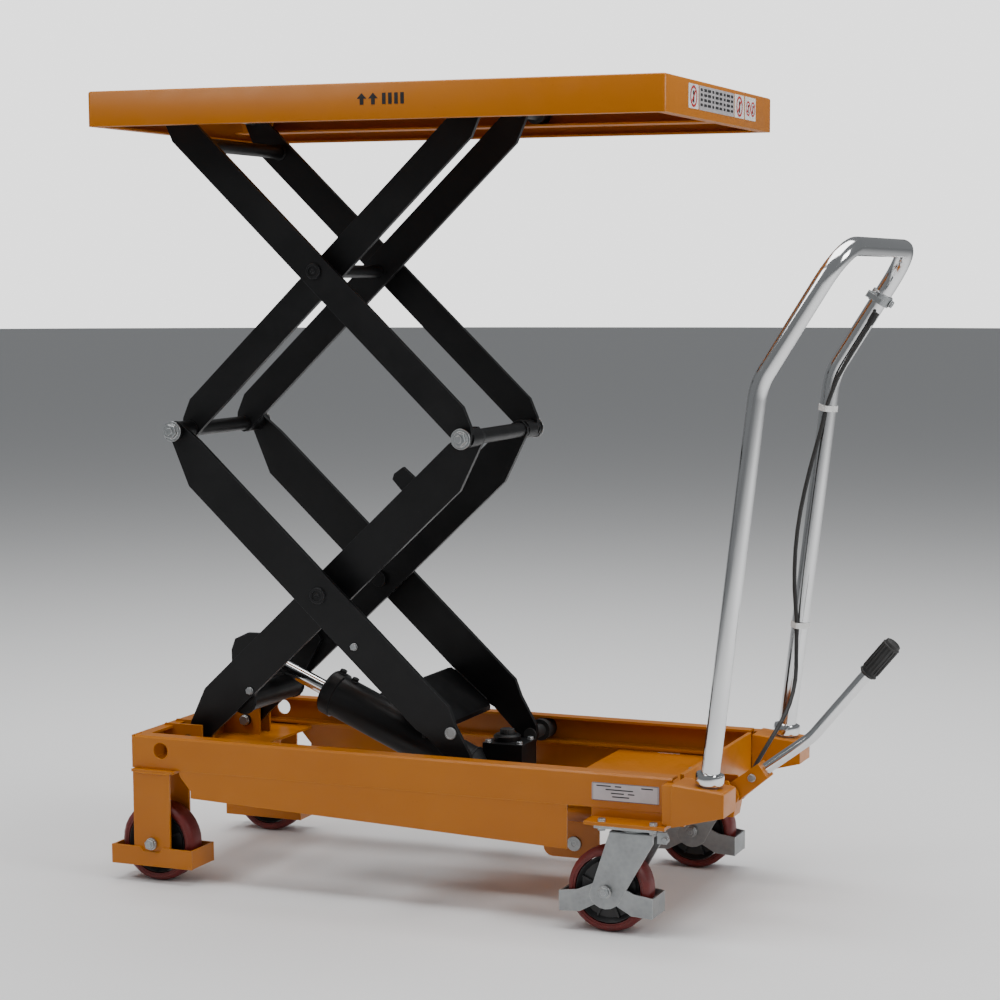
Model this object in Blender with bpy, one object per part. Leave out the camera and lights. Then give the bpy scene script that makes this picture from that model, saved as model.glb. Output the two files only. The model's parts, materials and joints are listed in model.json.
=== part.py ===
"""Mobile double-scissor hydraulic lift table, as separate named solids.

Metres, +Z up. The lengths below are taken from the middle of the platform: +X points to
the push handle, -Y to the near side. The last lines stand the whole table on the middle
of its bounding box. The table is drawn part way up, with its arms at about 45 degrees.
"""

import math

import bmesh
import bpy
from mathutils import Matrix, Vector

# ---- Driving dimensions -------------------------------------------------------------
TABLE_HEIGHT = 1.2104
PLATFORM_LENGTH = 0.910
PLATFORM_WIDTH = 0.506
PLATFORM_DEPTH = 0.052
SHEET = 0.003
GAP = 0.0003

LEFT_X = -0.385
RIGHT_X = 0.102
LOW_Z = 0.208
TOP_DROP = 0.0204
TOP_Z = TABLE_HEIGHT - TOP_DROP
RISE = (TOP_Z - LOW_Z) / 2
MID_Z = LOW_Z + RISE
CENTRE_X = (LEFT_X + RIGHT_X) / 2

INNER_ARM_Y = (0.083, 0.091)
OUTER_ARM_Y = (0.127, 0.135)

RAIL_LEFT = -0.433
RAIL_RIGHT = 0.452
RAIL_HALF = 0.203
RAIL_FLANGE = 0.025
RAIL_TOP = 0.230
RAIL_FOOT = 0.179
RAIL_SHEET = 0.004
LEDGE_TOP = 0.190

WHEEL_RADIUS = 0.0625
TREAD_WIDTH = 0.038
FIXED_X = -0.395
FIXED_Y = 0.180
SWIVEL_X = 0.398
CASTER_X = 0.360
CASTER_Y = 0.198

HANDLE_Y = 0.1975
HANDLE_RADIUS = 0.0135
HANDLE_FOOT = (0.505, 0.221)
HANDLE_LEAN = math.radians(6.8)
HANDLE_BEND_Z = 0.790
HANDLE_TOP = (0.692, 0.978)

PEDAL_PIVOT = (0.480, 0.170)
CYLINDER_PIN = (0.085, 0.161)
ROD_PIN = (-0.311, 0.333)
BARREL_LENGTH = 0.304

# Half of the table's overall X extent lies to each side of this plane.
BOX_CENTRE_X = 0.13213

# ---- Paints -------------------------------------------------------------------------
PAINTS = {
    "yellow_paint": ((0.72, 0.33, 0.03), 0.42, 0.0),
    "black_paint": ((0.012, 0.012, 0.013), 0.45, 0.0),
    "zinc": ((0.48, 0.50, 0.51), 0.45, 0.9),
    "chrome": ((0.80, 0.81, 0.82), 0.12, 1.0),
    "steel": ((0.55, 0.55, 0.55), 0.35, 1.0),
    "red_tread": ((0.16, 0.012, 0.008), 0.40, 0.0),
    "black_hub": ((0.012, 0.011, 0.011), 0.50, 0.0),
    "black_rubber": ((0.02, 0.02, 0.02), 0.70, 0.0),
}


def paint(name):
    """The shared Principled material of this name."""
    material = bpy.data.materials.get(name)
    if material is None:
        colour, roughness, metallic = PAINTS[name]
        material = bpy.data.materials.new(name)
        material.use_nodes = True
        shader = material.node_tree.nodes["Principled BSDF"]
        shader.inputs["Base Color"].default_value = (*colour, 1.0)
        shader.inputs["Roughness"].default_value = roughness
        shader.inputs["Metallic"].default_value = metallic
        material.diffuse_color = (*colour, 1.0)
    return material


def finish(name, bm, paint_name, origin=(0, 0, 0), smooth=True):
    """An object of this mesh, drawn in table coordinates, with its origin at origin."""
    bmesh.ops.remove_doubles(bm, verts=bm.verts, dist=1e-6)
    bmesh.ops.recalc_face_normals(bm, faces=bm.faces)
    bmesh.ops.translate(bm, verts=bm.verts, vec=-Vector(origin))
    mesh = bpy.data.meshes.new(name)
    bm.to_mesh(mesh)
    bm.free()
    if smooth:
        mesh.shade_smooth()
        mesh.set_sharp_from_angle(angle=math.radians(35))
    mesh.materials.append(paint(paint_name))
    obj = bpy.data.objects.new(name, mesh)
    obj.location = origin
    bpy.context.scene.collection.objects.link(obj)
    return obj


# ---- Shapes -------------------------------------------------------------------------
def arc(centre, radius, start, end, steps):
    """Points on an arc, in degrees, both ends included."""
    points = []
    for i in range(steps + 1):
        angle = math.radians(start + (end - start) * i / steps)
        points.append((centre[0] + radius * math.cos(angle), centre[1] + radius * math.sin(angle)))
    return points


def circle(centre, radius, steps=24):
    return arc(centre, radius, 0, 360 * (steps - 1) / steps, steps - 1)


def slab_mesh(bm, outline, holes, low, high, axis):
    """Fills an outline with holes and gives it a thickness along axis."""
    place = {
        "x": lambda a, b, t: (t, a, b),
        "y": lambda a, b, t: (a, t, b),
        "z": lambda a, b, t: (a, b, t),
    }[axis]
    edges = []
    for loop in [outline, *holes]:
        verts = [bm.verts.new(place(a, b, low)) for a, b in loop]
        edges += [bm.edges.new((verts[i - 1], verts[i])) for i in range(len(verts))]
    faces = [f for f in bmesh.ops.triangle_fill(bm, edges=edges, use_beauty=True)["geom"]
             if isinstance(f, bmesh.types.BMFace)]
    moved = bmesh.ops.extrude_face_region(bm, geom=faces)["geom"]
    shift = Vector(place(0, 0, high)) - Vector(place(0, 0, low))
    bmesh.ops.translate(bm, vec=shift, verts=[v for v in moved if isinstance(v, bmesh.types.BMVert)])
    return bm


def slab(name, outline, low, high, axis, paint_name, holes=(), origin=(0, 0, 0)):
    return finish(name, slab_mesh(bmesh.new(), outline, holes, low, high, axis), paint_name, origin)


def box(name, low, high, paint_name, origin=(0, 0, 0)):
    outline = [(low[0], low[1]), (high[0], low[1]), (high[0], high[1]), (low[0], high[1])]
    return slab(name, outline, low[2], high[2], "z", paint_name, (), origin)


def turned(name, profile, centre, axis, paint_name, steps=24, ring=False):
    """Turns (radius, height) points about axis through centre. A ring is a closed profile."""
    bm = bmesh.new()
    axis = Vector(axis).normalized()
    side = Vector((0, 0, -1)) if abs(axis.z) < 0.9 else Vector((1, 0, 0))
    side = (side - axis * side.dot(axis)).normalized()
    other = axis.cross(side)
    rows = []
    for radius, height in profile:
        if radius == 0:
            rows.append([bm.verts.new(Vector(centre) + axis * height)])
            continue
        row = []
        for i in range(steps):
            angle = 2 * math.pi * i / steps
            out = side * math.cos(angle) + other * math.sin(angle)
            row.append(bm.verts.new(Vector(centre) + axis * height + out * radius))
        rows.append(row)
    pairs = list(zip(rows, rows[1:]))
    if ring:
        pairs.append((rows[-1], rows[0]))
    for low, high in pairs:
        for i in range(steps):
            j = (i + 1) % steps
            corners = [low[i % len(low)], low[j % len(low)], high[j % len(high)], high[i % len(high)]]
            bm.faces.new(list(dict.fromkeys(corners)))
    return finish(name, bm, paint_name, centre)


def shaft(name, centre, steps_of_radius, paint_name, sides=20):
    """A shaft along Y: (radius, from, to) stretches in turn, from low to high Y."""
    profile = [(0, steps_of_radius[0][1])]
    for radius, low, high in steps_of_radius:
        profile += [(radius, low), (radius, high)]
    profile.append((0, steps_of_radius[-1][2]))
    return turned(name, profile, (centre[0], 0, centre[1]), (0, 1, 0), paint_name, sides)


def sided_shaft(name, centre, side, stretches, paint_name, sides=20):
    """A shaft drawn for the far side, on either side."""
    if side < 0:
        stretches = [(radius, -high, -low) for radius, low, high in reversed(stretches)]
    return shaft(name, centre, stretches, paint_name, sides)


def rounded_path(points, radius, steps=6):
    """A polyline whose corners are arcs. Each corner may have its own radius."""
    points = [Vector(p) for p in points]
    radii = radius if isinstance(radius, (list, tuple)) else [radius] * (len(points) - 2)
    path = [points[0]]
    for before, corner, after, bend in zip(points, points[1:], points[2:], radii):
        back, ahead = (before - corner).normalized(), (after - corner).normalized()
        half = back.angle(ahead) / 2
        middle = corner + (back + ahead).normalized() * (bend / math.sin(half))
        start = corner + back * (bend / math.tan(half)) - middle
        turn = math.pi - 2 * half
        normal = start.cross(corner + ahead * (bend / math.tan(half)) - middle).normalized()
        for i in range(steps + 1):
            path.append(middle + Matrix.Rotation(turn * i / steps, 3, normal) @ start)
    path.append(points[-1])
    return path


def swept(name, path, radius, paint_name, sides=12, origin=(0, 0, 0)):
    """A round bar along a path, with flat ends."""
    bm = bmesh.new()
    path = [Vector(p) for p in path]
    heading = (path[1] - path[0]).normalized()
    side = heading.orthogonal().normalized()
    rings = []
    for i, point in enumerate(path):
        ahead = (path[min(i + 1, len(path) - 1)] - path[max(i - 1, 0)]).normalized()
        side = heading.rotation_difference(ahead) @ side
        heading = ahead
        other = heading.cross(side)
        ring = []
        for k in range(sides):
            angle = 2 * math.pi * k / sides
            ring.append(bm.verts.new(point + (side * math.cos(angle) + other * math.sin(angle)) * radius))
        rings.append(ring)
    for low, high in zip(rings, rings[1:]):
        for k in range(sides):
            j = (k + 1) % sides
            bm.faces.new((low[k], low[j], high[j], high[k]))
    bm.faces.new(rings[0])
    bm.faces.new(rings[-1])
    return finish(name, bm, paint_name, origin)


def helper(obj):
    obj.hide_render = True
    obj.display_type = "WIRE"


def welded(obj, *others):
    """Joins other solids to this one."""
    for other in others:
        union = obj.modifiers.new(other.name, "BOOLEAN")
        union.operation = "UNION"
        union.object = other
        helper(other)
    return obj


def cut(obj, *others):
    for other in others:
        difference = obj.modifiers.new(other.name, "BOOLEAN")
        difference.operation = "DIFFERENCE"
        difference.object = other
        helper(other)
    return obj


def mirrored(points, side):
    """Swaps (y, z) points to the side asked for, +1 or -1."""
    return [(side * a, b) for a, b in points]


def across(side, low, high):
    """The Y span of a piece drawn for the far side, on either side."""
    return (low, high) if side > 0 else (-high, -low)


# ---- Base frame ---------------------------------------------------------------------
SIDES = (("near", -1), ("far", 1))
SKIRT_LEFT, SKIRT_RIGHT = -0.345, 0.292
SKIRT_DROP_LEFT, SKIRT_DROP_RIGHT = 0.137, 0.1135
ACCESS_HOLE = (-0.382, 0.208, 0.0125)
MOUNT_LEFT = 0.330
MOUNT_Z = (0.1605, 0.1655)


def side_rail(label, side):
    """The rolled rail with its inward roller track, the plate below it and the caster's seat."""
    web, inner = RAIL_HALF - RAIL_SHEET, RAIL_HALF - RAIL_FLANGE
    ledge = LEDGE_TOP - RAIL_SHEET
    section = [
        (RAIL_HALF, RAIL_FOOT), (RAIL_HALF, RAIL_TOP - 0.003), (RAIL_HALF - 0.003, RAIL_TOP),
        (inner, RAIL_TOP), (inner, RAIL_TOP - RAIL_SHEET), (web, RAIL_TOP - RAIL_SHEET),
        (web, LEDGE_TOP), (inner, LEDGE_TOP), (inner, ledge), (web, ledge), (web, RAIL_FOOT),
    ]
    left = RAIL_LEFT + RAIL_SHEET + GAP
    rail = slab(f"{label}_rail", mirrored(section, side), left, RAIL_RIGHT, "x", "yellow_paint")
    lap = RAIL_FOOT + 0.004
    skirt_outline = [
        (SKIRT_LEFT - 0.006, lap), (SKIRT_LEFT - 0.004, 0.1695), (SKIRT_LEFT + 0.0145, 0.1486),
        (SKIRT_LEFT + 0.0145, SKIRT_DROP_LEFT), (SKIRT_RIGHT, SKIRT_DROP_RIGHT), (SKIRT_RIGHT, lap),
    ]
    skirt = slab(f"{label}_skirt_piece", skirt_outline, *across(side, 0.1994, 0.2024), "y", "yellow_paint")
    seat_section = [
        (0.158, MOUNT_Z[0]), (0.236, MOUNT_Z[0]), (0.236, MOUNT_Z[1]), (0.2024, MOUNT_Z[1]),
        (0.2024, lap), (0.1994, lap), (0.1994, MOUNT_Z[1]), (0.158, MOUNT_Z[1]),
    ]
    seat = slab(f"{label}_seat_piece", mirrored(seat_section, side), MOUNT_LEFT, RAIL_RIGHT, "x",
                "yellow_paint")
    x, z, radius = ACCESS_HOLE
    hole = slab(f"{label}_hole_cutter", circle((x, z), radius), *across(side, 0.190, 0.210), "y",
                "yellow_paint")
    welded(rail, skirt, seat)
    cut(rail, hole)
    return rail


EAR_Y = ((0.0745, 0.0785), (0.1095, 0.1135))


def left_cross_member():
    """End plate, channel, bed plate and the two ears that hold the lower arm pins."""
    end = box("left_cross_member", (RAIL_LEFT, -RAIL_HALF, RAIL_FOOT),
              (RAIL_LEFT + RAIL_SHEET, RAIL_HALF, RAIL_TOP), "yellow_paint")
    inside = RAIL_HALF - RAIL_FLANGE - GAP
    flange = box("left_flange_piece", (RAIL_LEFT + 0.001, -inside, RAIL_TOP - RAIL_SHEET),
                 (RAIL_LEFT + 0.020, inside, RAIL_TOP), "yellow_paint")
    bed = box("bed_piece", (RAIL_LEFT + 0.001, -inside, 0.1795), (-0.318, inside, 0.1835), "yellow_paint")
    pieces = [flange, bed]
    outline = [(RAIL_LEFT + 0.002, 0.181), (-0.3605, 0.181), (-0.3605, 0.2335), (RAIL_LEFT + 0.006, 0.2335),
               (RAIL_LEFT + 0.002, 0.2260)]
    for label, side in SIDES:
        for place, span in zip(("inner", "outer"), EAR_Y):
            pieces.append(slab(f"{label}_{place}_ear_piece", outline, *across(side, *span), "y", "yellow_paint",
                               [circle((LEFT_X, LOW_Z), 0.0083)]))
    return welded(end, *pieces)


def right_cross_member():
    """Folded end plate with the pedal's two ears and the sheet deck in front of it."""
    web = box("right_cross_member", (RAIL_RIGHT + GAP, -0.1665, 0.152), (0.458, 0.1665, 0.229), "yellow_paint")
    pieces = []
    for label, side in SIDES:
        x, z = PEDAL_PIVOT
        outline = [(0.457, 0.153), (x, 0.153), *arc((x, z), 0.0165, -80, 80, 6), (x, 0.192), (0.457, 0.192)]
        pieces.append(slab(f"{label}_pedal_ear_piece", outline, *across(side, 0.0215, 0.0255), "y",
                           "yellow_paint"))
    return welded(web, *pieces)


def deck_plate():
    inside = RAIL_HALF - RAIL_FLANGE - GAP
    return box("deck_plate", (0.235, -inside, 0.1805), (RAIL_RIGHT, inside, 0.1835), "yellow_paint")


def handle_socket(label, side):
    """Folded box with a sloped top, open below, that the handle's foot stands in."""
    left, right = RAIL_RIGHT + 0.0065, 0.536
    inner, outer = 0.1690, 0.2260

    def ring(inset, top, drop):
        x0, x1, y0, y1 = left + inset, right - inset, inner + inset, outer - inset
        z = []
        for x in (x0, x1):
            along = (x - left) / (right - left)
            z.append((0.2265 - 0.0075 * along) if top else (0.164 + 0.020 * along))
        return [Vector((x0, side * y0, z[0] - drop)), Vector((x1, side * y0, z[1] - drop)),
                Vector((x1, side * y1, z[1] - drop)), Vector((x0, side * y1, z[0] - drop))]

    bm = bmesh.new()
    rings = [[bm.verts.new(v) for v in ring(*spec)] for spec in
             ((0.002, True, 0), (0, True, 0.002), (0, False, 0), (SHEET, False, 0), (SHEET, True, SHEET))]
    for low, high in zip(rings, rings[1:]):
        for i in range(4):
            bm.faces.new((low[i - 1], low[i], high[i], high[i - 1]))
    bm.faces.new(rings[0])
    bm.faces.new(rings[-1])
    socket = finish(f"{label}_handle_socket", bm, "yellow_paint")
    # A cheek laps the outside of the rail's end.
    cheek_outline = [(0.4450, 0.1665), (0.4600, 0.1665), (0.4600, 0.2240), (0.4450, 0.2240)]
    cheek = slab(f"{label}_cheek_piece", cheek_outline, *across(side, 0.2034, outer - 0.0005), "y",
                 "yellow_paint")
    bore = turned(f"{label}_bore_cutter", [(0, -0.03), (0.0141, -0.03), (0.0141, 0.03), (0, 0.03)],
                  (HANDLE_FOOT[0], side * HANDLE_Y, HANDLE_FOOT[1]),
                  (math.sin(HANDLE_LEAN), 0, math.cos(HANDLE_LEAN)), "yellow_paint")
    welded(socket, cheek)
    return cut(socket, bore)


# ---- Wheels -------------------------------------------------------------------------
BORE = 0.0084
HUB_RADIUS = 0.0500


def wheel(label, centre):
    """A bonded tread on a turned hub, with the axle that both run on."""
    half = TREAD_WIDTH / 2
    tread = [
        (HUB_RADIUS + GAP, -half + 0.001), (WHEEL_RADIUS - 0.006, -half), (WHEEL_RADIUS - 0.0015, -half + 0.004),
        (WHEEL_RADIUS, -half + 0.010), (WHEEL_RADIUS, half - 0.010), (WHEEL_RADIUS - 0.0015, half - 0.004),
        (WHEEL_RADIUS - 0.006, half), (HUB_RADIUS + GAP, half - 0.001),
    ]
    turned(f"{label}_tread", tread, centre, (0, 1, 0), "red_tread", 32, ring=True)
    boss = half + 0.0015
    hub = [
        (BORE, -boss), (0.020, -boss), (0.022, -half + 0.006), (0.042, -half + 0.007),
        (HUB_RADIUS - 0.0015, -half + 0.001), (HUB_RADIUS - 0.0015, half - 0.001),
        (0.042, half - 0.007), (0.022, half - 0.006), (0.020, boss), (BORE, boss),
    ]
    turned(f"{label}_hub", hub, centre, (0, 1, 0), "black_hub", 20, ring=True)


def axle(name, centre, reach, head):
    """A bolt along Y with a head at each end. reach is half its length under the heads."""
    profile = [(0, -reach - head), (0.0095, -reach - head), (0.0095, -reach - GAP), (0.008, -reach - GAP),
               (0.008, reach + GAP), (0.0095, reach + GAP), (0.0095, reach + head), (0, reach + head)]
    return turned(name, profile, centre, (0, 1, 0), "steel", 20)


def fixed_wheel(label, side):
    """Welded fork with a square foot guard, and the wheel in it."""
    y = side * FIXED_Y
    inner, outer = 0.0277, 0.0317
    leg = [(FIXED_X - 0.032, 0.030), (FIXED_X + 0.032, 0.030), (FIXED_X + 0.032, 0.1760), (FIXED_X - 0.032, 0.1760)]
    hole = [circle((FIXED_X, WHEEL_RADIUS), 0.0083)]
    fork = slab(f"{label}_fixed_fork", leg, y - outer, y - inner, "y", "yellow_paint", hole)
    far_leg = slab(f"{label}_leg_piece", leg, y + inner, y + outer, "y", "yellow_paint", hole)
    crown = box(f"{label}_crown_piece", (FIXED_X - 0.034, y - outer - 0.001, 0.1742),
                (FIXED_X + 0.040, y + outer + 0.001, 0.1787), "yellow_paint")
    pieces = [far_leg, crown]
    guard_half, guard_low, guard_high = 0.071, 0.027, 0.057
    for end in (-1, 1):
        x = sorted((FIXED_X + end * (guard_half - 0.0003), FIXED_X + end * (guard_half - SHEET)))
        pieces.append(box(f"{label}_guard_end_{end + 1}_piece", (x[0], y - 0.0337, guard_low + 0.0004),
                          (x[1], y + 0.0337, guard_high - 0.0004), "yellow_paint"))
        side_outline = [(FIXED_X - guard_half, guard_low), (FIXED_X + guard_half, guard_low),
                        (FIXED_X + guard_half, guard_high), (FIXED_X + 0.020, guard_high),
                        (FIXED_X + 0.014, guard_high - 0.007), (FIXED_X - 0.014, guard_high - 0.007),
                        (FIXED_X - 0.020, guard_high), (FIXED_X - guard_half, guard_high)]
        span = sorted((y + end * 0.0312, y + end * 0.0345))
        pieces.append(slab(f"{label}_guard_side_{end + 1}_piece", side_outline, span[0], span[1], "y",
                           "yellow_paint"))
    welded(fork, *pieces)
    wheel(f"{label}_fixed_wheel", (FIXED_X, y, WHEEL_RADIUS))
    axle(f"{label}_fixed_axle", (FIXED_X, y, WHEEL_RADIUS), outer, 0.004)


def caster(label, side):
    """Zinc swivel caster: top plate, raked fork with a waisted toe guard, wheel and axle."""
    y = side * CASTER_Y
    plate_top = MOUNT_Z[0] - GAP
    box(f"{label}_caster_plate", (0.346, y - 0.038, plate_top - 0.0035), (0.440, y + 0.038, plate_top), "zinc")
    inner, outer = 0.0245, 0.0275
    crown_low, crown_high = 0.1465, 0.1505
    foot = (CASTER_X, WHEEL_RADIUS)
    leg_top = crown_high - 0.0008
    leg = [(SWIVEL_X - 0.032, leg_top), *arc(foot, 0.026, 195, 345, 8), (SWIVEL_X + 0.034, leg_top - 0.012),
           (SWIVEL_X + 0.034, leg_top)]
    hole = [circle(foot, 0.0083)]
    origin = (SWIVEL_X, y, plate_top)
    fork = slab(f"{label}_caster_fork", leg, y - outer, y - inner, "y", "zinc", hole, origin)
    pieces = [
        slab(f"{label}_caster_leg_piece", leg, y + inner, y + outer, "y", "zinc", hole),
        box(f"{label}_caster_crown_piece", (SWIVEL_X - 0.033, y - inner - 0.0016, crown_low),
            (SWIVEL_X + 0.033, y + inner + 0.0016, crown_high), "zinc"),
        turned(f"{label}_race_piece", [(0, -0.002), (0.023, -0.002), (0.0235, 0.001), (0.022, 0.0055), (0, 0.0055)],
               (SWIVEL_X, y, crown_high), (0, 0, 1), "zinc", 24),
    ]
    half, low, high, waist = 0.0715, 0.028, 0.058, 0.014
    top_dip, bottom_rise = 0.0155, 0.016
    bow = [(CASTER_X - half, low), (CASTER_X - half * 0.55, low + 0.002),
           (CASTER_X - waist, low + bottom_rise), (CASTER_X + waist, low + bottom_rise),
           (CASTER_X + half * 0.55, low + 0.002), (CASTER_X + half, low), (CASTER_X + half, high),
           (CASTER_X + half * 0.6, high + 0.004), (CASTER_X + 0.018, high + top_dip),
           (CASTER_X - 0.018, high + top_dip), (CASTER_X - half * 0.6, high + 0.004), (CASTER_X - half, high)]
    for end in (-1, 1):
        span = sorted((y + end * (inner - 0.0003), y + end * (outer - 0.0003)))
        pieces.append(slab(f"{label}_bow_{end + 1}_piece", bow, span[0], span[1], "y", "zinc", hole))
        x = sorted((CASTER_X + end * (half - 0.0003), CASTER_X + end * (half - SHEET)))
        pieces.append(box(f"{label}_toe_{end + 1}_piece", (x[0], y - outer + 0.0012, low + 0.0004),
                          (x[1], y + outer - 0.0012, high - 0.0004), "zinc"))
    welded(fork, *pieces)
    wheel(f"{label}_caster_wheel", (CASTER_X, y, WHEEL_RADIUS))
    axle(f"{label}_caster_axle", (CASTER_X, y, WHEEL_RADIUS), outer, 0.004)


# ---- Scissor arms -------------------------------------------------------------------
def arm_point(start, end, along, off):
    """A point at along from start towards end, and off to the upper side of that line."""
    start, end = Vector(start), Vector(end)
    heading = (end - start).normalized()
    up = Vector((-heading.y, heading.x))
    if up.y < 0:
        up = -up
    return tuple(start + heading * along + up * off)


LOWER_OUTER_ARM = {
    "holes": (0.0093, None, 0.0086),
    "outline": lambda span: [
        (-0.0125, 0.0090), (-0.0125, -0.0060), (-0.0060, -0.0125), (0.0060, -0.0155), (0.0760, -0.0439),
        (0.6000, -0.0222), (0.6180, -0.0165), (span + 0.0020, -0.0160), (span + 0.0105, -0.0115),
        (span + 0.0140, -0.0040), (span + 0.0090, 0.0075), (span - 0.0050, 0.0170), (0.6360, 0.0310),
        (0.6100, 0.0424), (0.0400, 0.0196), (0.0020, 0.0150), (-0.0070, 0.0135),
    ],
}
LOWER_INNER_ARM = {
    "holes": (0.0093, 0.0093, None),
    "outline": lambda span: [
        (-0.0125, 0.0090), (-0.0125, -0.0060), (-0.0060, -0.0125), (0.0100, -0.0175), (0.0760, -0.0396),
        (span - 0.0500, -0.0178), (span + 0.0020, -0.0160), (span + 0.0110, -0.0115), (span + 0.0155, 0.0010),
        (span + 0.0090, 0.0125), (span - 0.0145, 0.0240), (span - 0.0700, 0.0440), (0.0400, 0.0230),
        (0.0020, 0.0165), (-0.0070, 0.0145),
    ],
}
UPPER_ARM = {
    "holes": (0.0086, 0.0093, 0.0093),
    "outline": lambda span: [
        (-0.0155, 0.0000), (-0.0115, -0.0105), (0.0020, -0.0172), (0.0380, -0.0312), (span - 0.0150, -0.0142),
        (span + 0.0020, -0.0150), (span + 0.0110, -0.0095), (span + 0.0138, -0.0010), (span + 0.0080, 0.0100),
        (span - 0.0040, 0.0205), (span - 0.0340, 0.0325), (0.0400, 0.0158), (-0.0030, 0.0146), (-0.0120, 0.0095),
    ],
}
# The stop tab on the inside of the inner lower arms, near their upper ends.
TAB = [(0.1180, 0.0100), (0.1500, 0.0100), (0.1480, 0.0520), (0.1400, 0.0560), (0.1220, 0.0530)]


def arm(name, start, end, shape, thickness, side, pivot):
    """A flat arm from start to end, with holes at both ends and at its middle."""
    span = (Vector(end) - Vector(start)).length
    outline = [arm_point(start, end, a, b) for a, b in shape["outline"](span)]
    centres = [start, ((start[0] + end[0]) / 2, (start[1] + end[1]) / 2), end]
    holes = [circle(c, r, 20) for c, r in zip(centres, shape["holes"]) if r]
    return slab(name, outline, *across(side, *thickness), "y", "black_paint", holes, (pivot[0], 0, pivot[1]))


LOW_LEFT, LOW_RIGHT = (LEFT_X, LOW_Z), (RIGHT_X, LOW_Z)
MID_LEFT, MID_RIGHT = (LEFT_X, MID_Z), (RIGHT_X, MID_Z)
TOP_LEFT, TOP_RIGHT = (LEFT_X, TOP_Z), (RIGHT_X, TOP_Z)
LOW_CENTRE = (CENTRE_X, (LOW_Z + MID_Z) / 2)
TOP_CENTRE = (CENTRE_X, (MID_Z + TOP_Z) / 2)


def scissor_arms():
    """The eight arms. The lower ones carry welded pins: at the foot of each inner arm, which turns in the
    frame's ears, and at the middle of each outer arm, on which the inner arm turns."""
    inner, outer = INNER_ARM_Y, OUTER_ARM_Y
    for label, side in SIDES:
        lower = arm(f"{label}_inner_lower_arm", MID_RIGHT, LOW_LEFT, LOWER_INNER_ARM, inner, side, LOW_LEFT)
        foot = sided_shaft(f"{label}_foot_pin_piece", LOW_LEFT, side, [
            (0.0095, EAR_Y[0][0] - 0.0060, EAR_Y[0][0] - GAP), (0.0080, EAR_Y[0][0] - GAP, EAR_Y[0][1] + GAP),
            (0.0115, EAR_Y[0][1] + GAP, EAR_Y[1][0] - GAP), (0.0080, EAR_Y[1][0] - GAP, EAR_Y[1][1] + GAP),
            (0.0095, EAR_Y[1][1] + GAP, EAR_Y[1][1] + 0.0040)], "black_paint")
        outline = [arm_point(MID_RIGHT, LOW_LEFT, along, off) for along, off in TAB]
        tab = slab(f"{label}_tab_piece", outline, *across(side, inner[0] - 0.0080, inner[0] - GAP), "y",
                   "black_paint")
        weld = slab(f"{label}_tab_weld_piece", circle(arm_point(MID_RIGHT, LOW_LEFT, 0.1356, 0.0180), 0.0050, 12),
                    *across(side, inner[0] - 0.0040, inner[0] + 0.0040), "y", "black_paint")
        welded(lower, foot, tab, weld)
        below = arm(f"{label}_outer_lower_arm", MID_LEFT, LOW_RIGHT, LOWER_OUTER_ARM, outer, side, LOW_CENTRE)
        centre = sided_shaft(f"{label}_centre_pin_piece", LOW_CENTRE, side, [
            (0.0120, inner[0] - 0.0070, inner[0] - GAP), (0.0090, inner[0] - GAP, inner[1] + GAP),
            (0.0125, inner[1] + GAP, outer[1] + 0.0030)], "black_paint")
        welded(below, centre)
        arm(f"{label}_outer_upper_arm", TOP_LEFT, MID_RIGHT, UPPER_ARM, outer, side, MID_RIGHT)
        arm(f"{label}_inner_upper_arm", TOP_RIGHT, MID_LEFT, UPPER_ARM, inner, side, TOP_CENTRE)


def cross_shafts():
    """The through shafts of the two middle joints and the upper crossing, with their spacers."""
    inner, outer = INNER_ARM_Y, OUTER_ARM_Y
    for name, centre, sleeve, spacer, head, reach in (
        ("left_mid_shaft", MID_LEFT, 0.0115, 0.0145, 0.0135, 0.0100),
        ("right_mid_shaft", MID_RIGHT, 0.0115, 0.0145, 0.0135, 0.0100),
        ("upper_centre_shaft", TOP_CENTRE, 0.0100, 0.0125, 0.0120, 0.0030),
    ):
        half = [(sleeve, 0, inner[0] - GAP), (0.009, inner[0] - GAP, inner[1] + GAP),
                (spacer, inner[1] + GAP, outer[0] - GAP), (0.009, outer[0] - GAP, outer[1] + GAP),
                (head, outer[1] + GAP, outer[1] + reach)]
        left = [(radius, -high, -low) for radius, low, high in reversed(half)]
        left[-1] = (sleeve, left[-1][1], half[0][2])
        shaft(name, centre, left + half[1:], "black_paint")
    tip = PLATFORM_EAR_Y[1] + 0.0035
    shaft("top_pivot_shaft", TOP_LEFT, [(0.008, -tip, tip)], "steel")


def lower_arm_cross_plate():
    """Folded stiffener under the two outer lower arms, near their rollers."""
    upper = [(0.5190, -0.0330), (0.5225, -0.0270), (0.5290, -0.0255), (0.6040, -0.0180), (0.6120, -0.0195),
             (0.6170, -0.0250)]
    lower = [(0.6135, -0.0270), (0.6100, -0.0230), (0.6035, -0.0215), (0.5300, -0.0290), (0.5250, -0.0300),
             (0.5220, -0.0345)]
    outline = [arm_point(MID_LEFT, LOW_RIGHT, along, off) for along, off in upper + lower]
    reach = OUTER_ARM_Y[0] - GAP
    return slab("arm_cross_plate", outline, -reach, reach, "y", "black_paint", (),
                (LOW_CENTRE[0], 0, LOW_CENTRE[1]))


def upper_tie_tube():
    centre = arm_point(TOP_LEFT, MID_RIGHT, 0.072, -0.003)
    reach = OUTER_ARM_Y[0] - GAP
    return shaft("upper_tie_tube", centre, [(0.0105, -reach, reach)], "black_paint")


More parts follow.
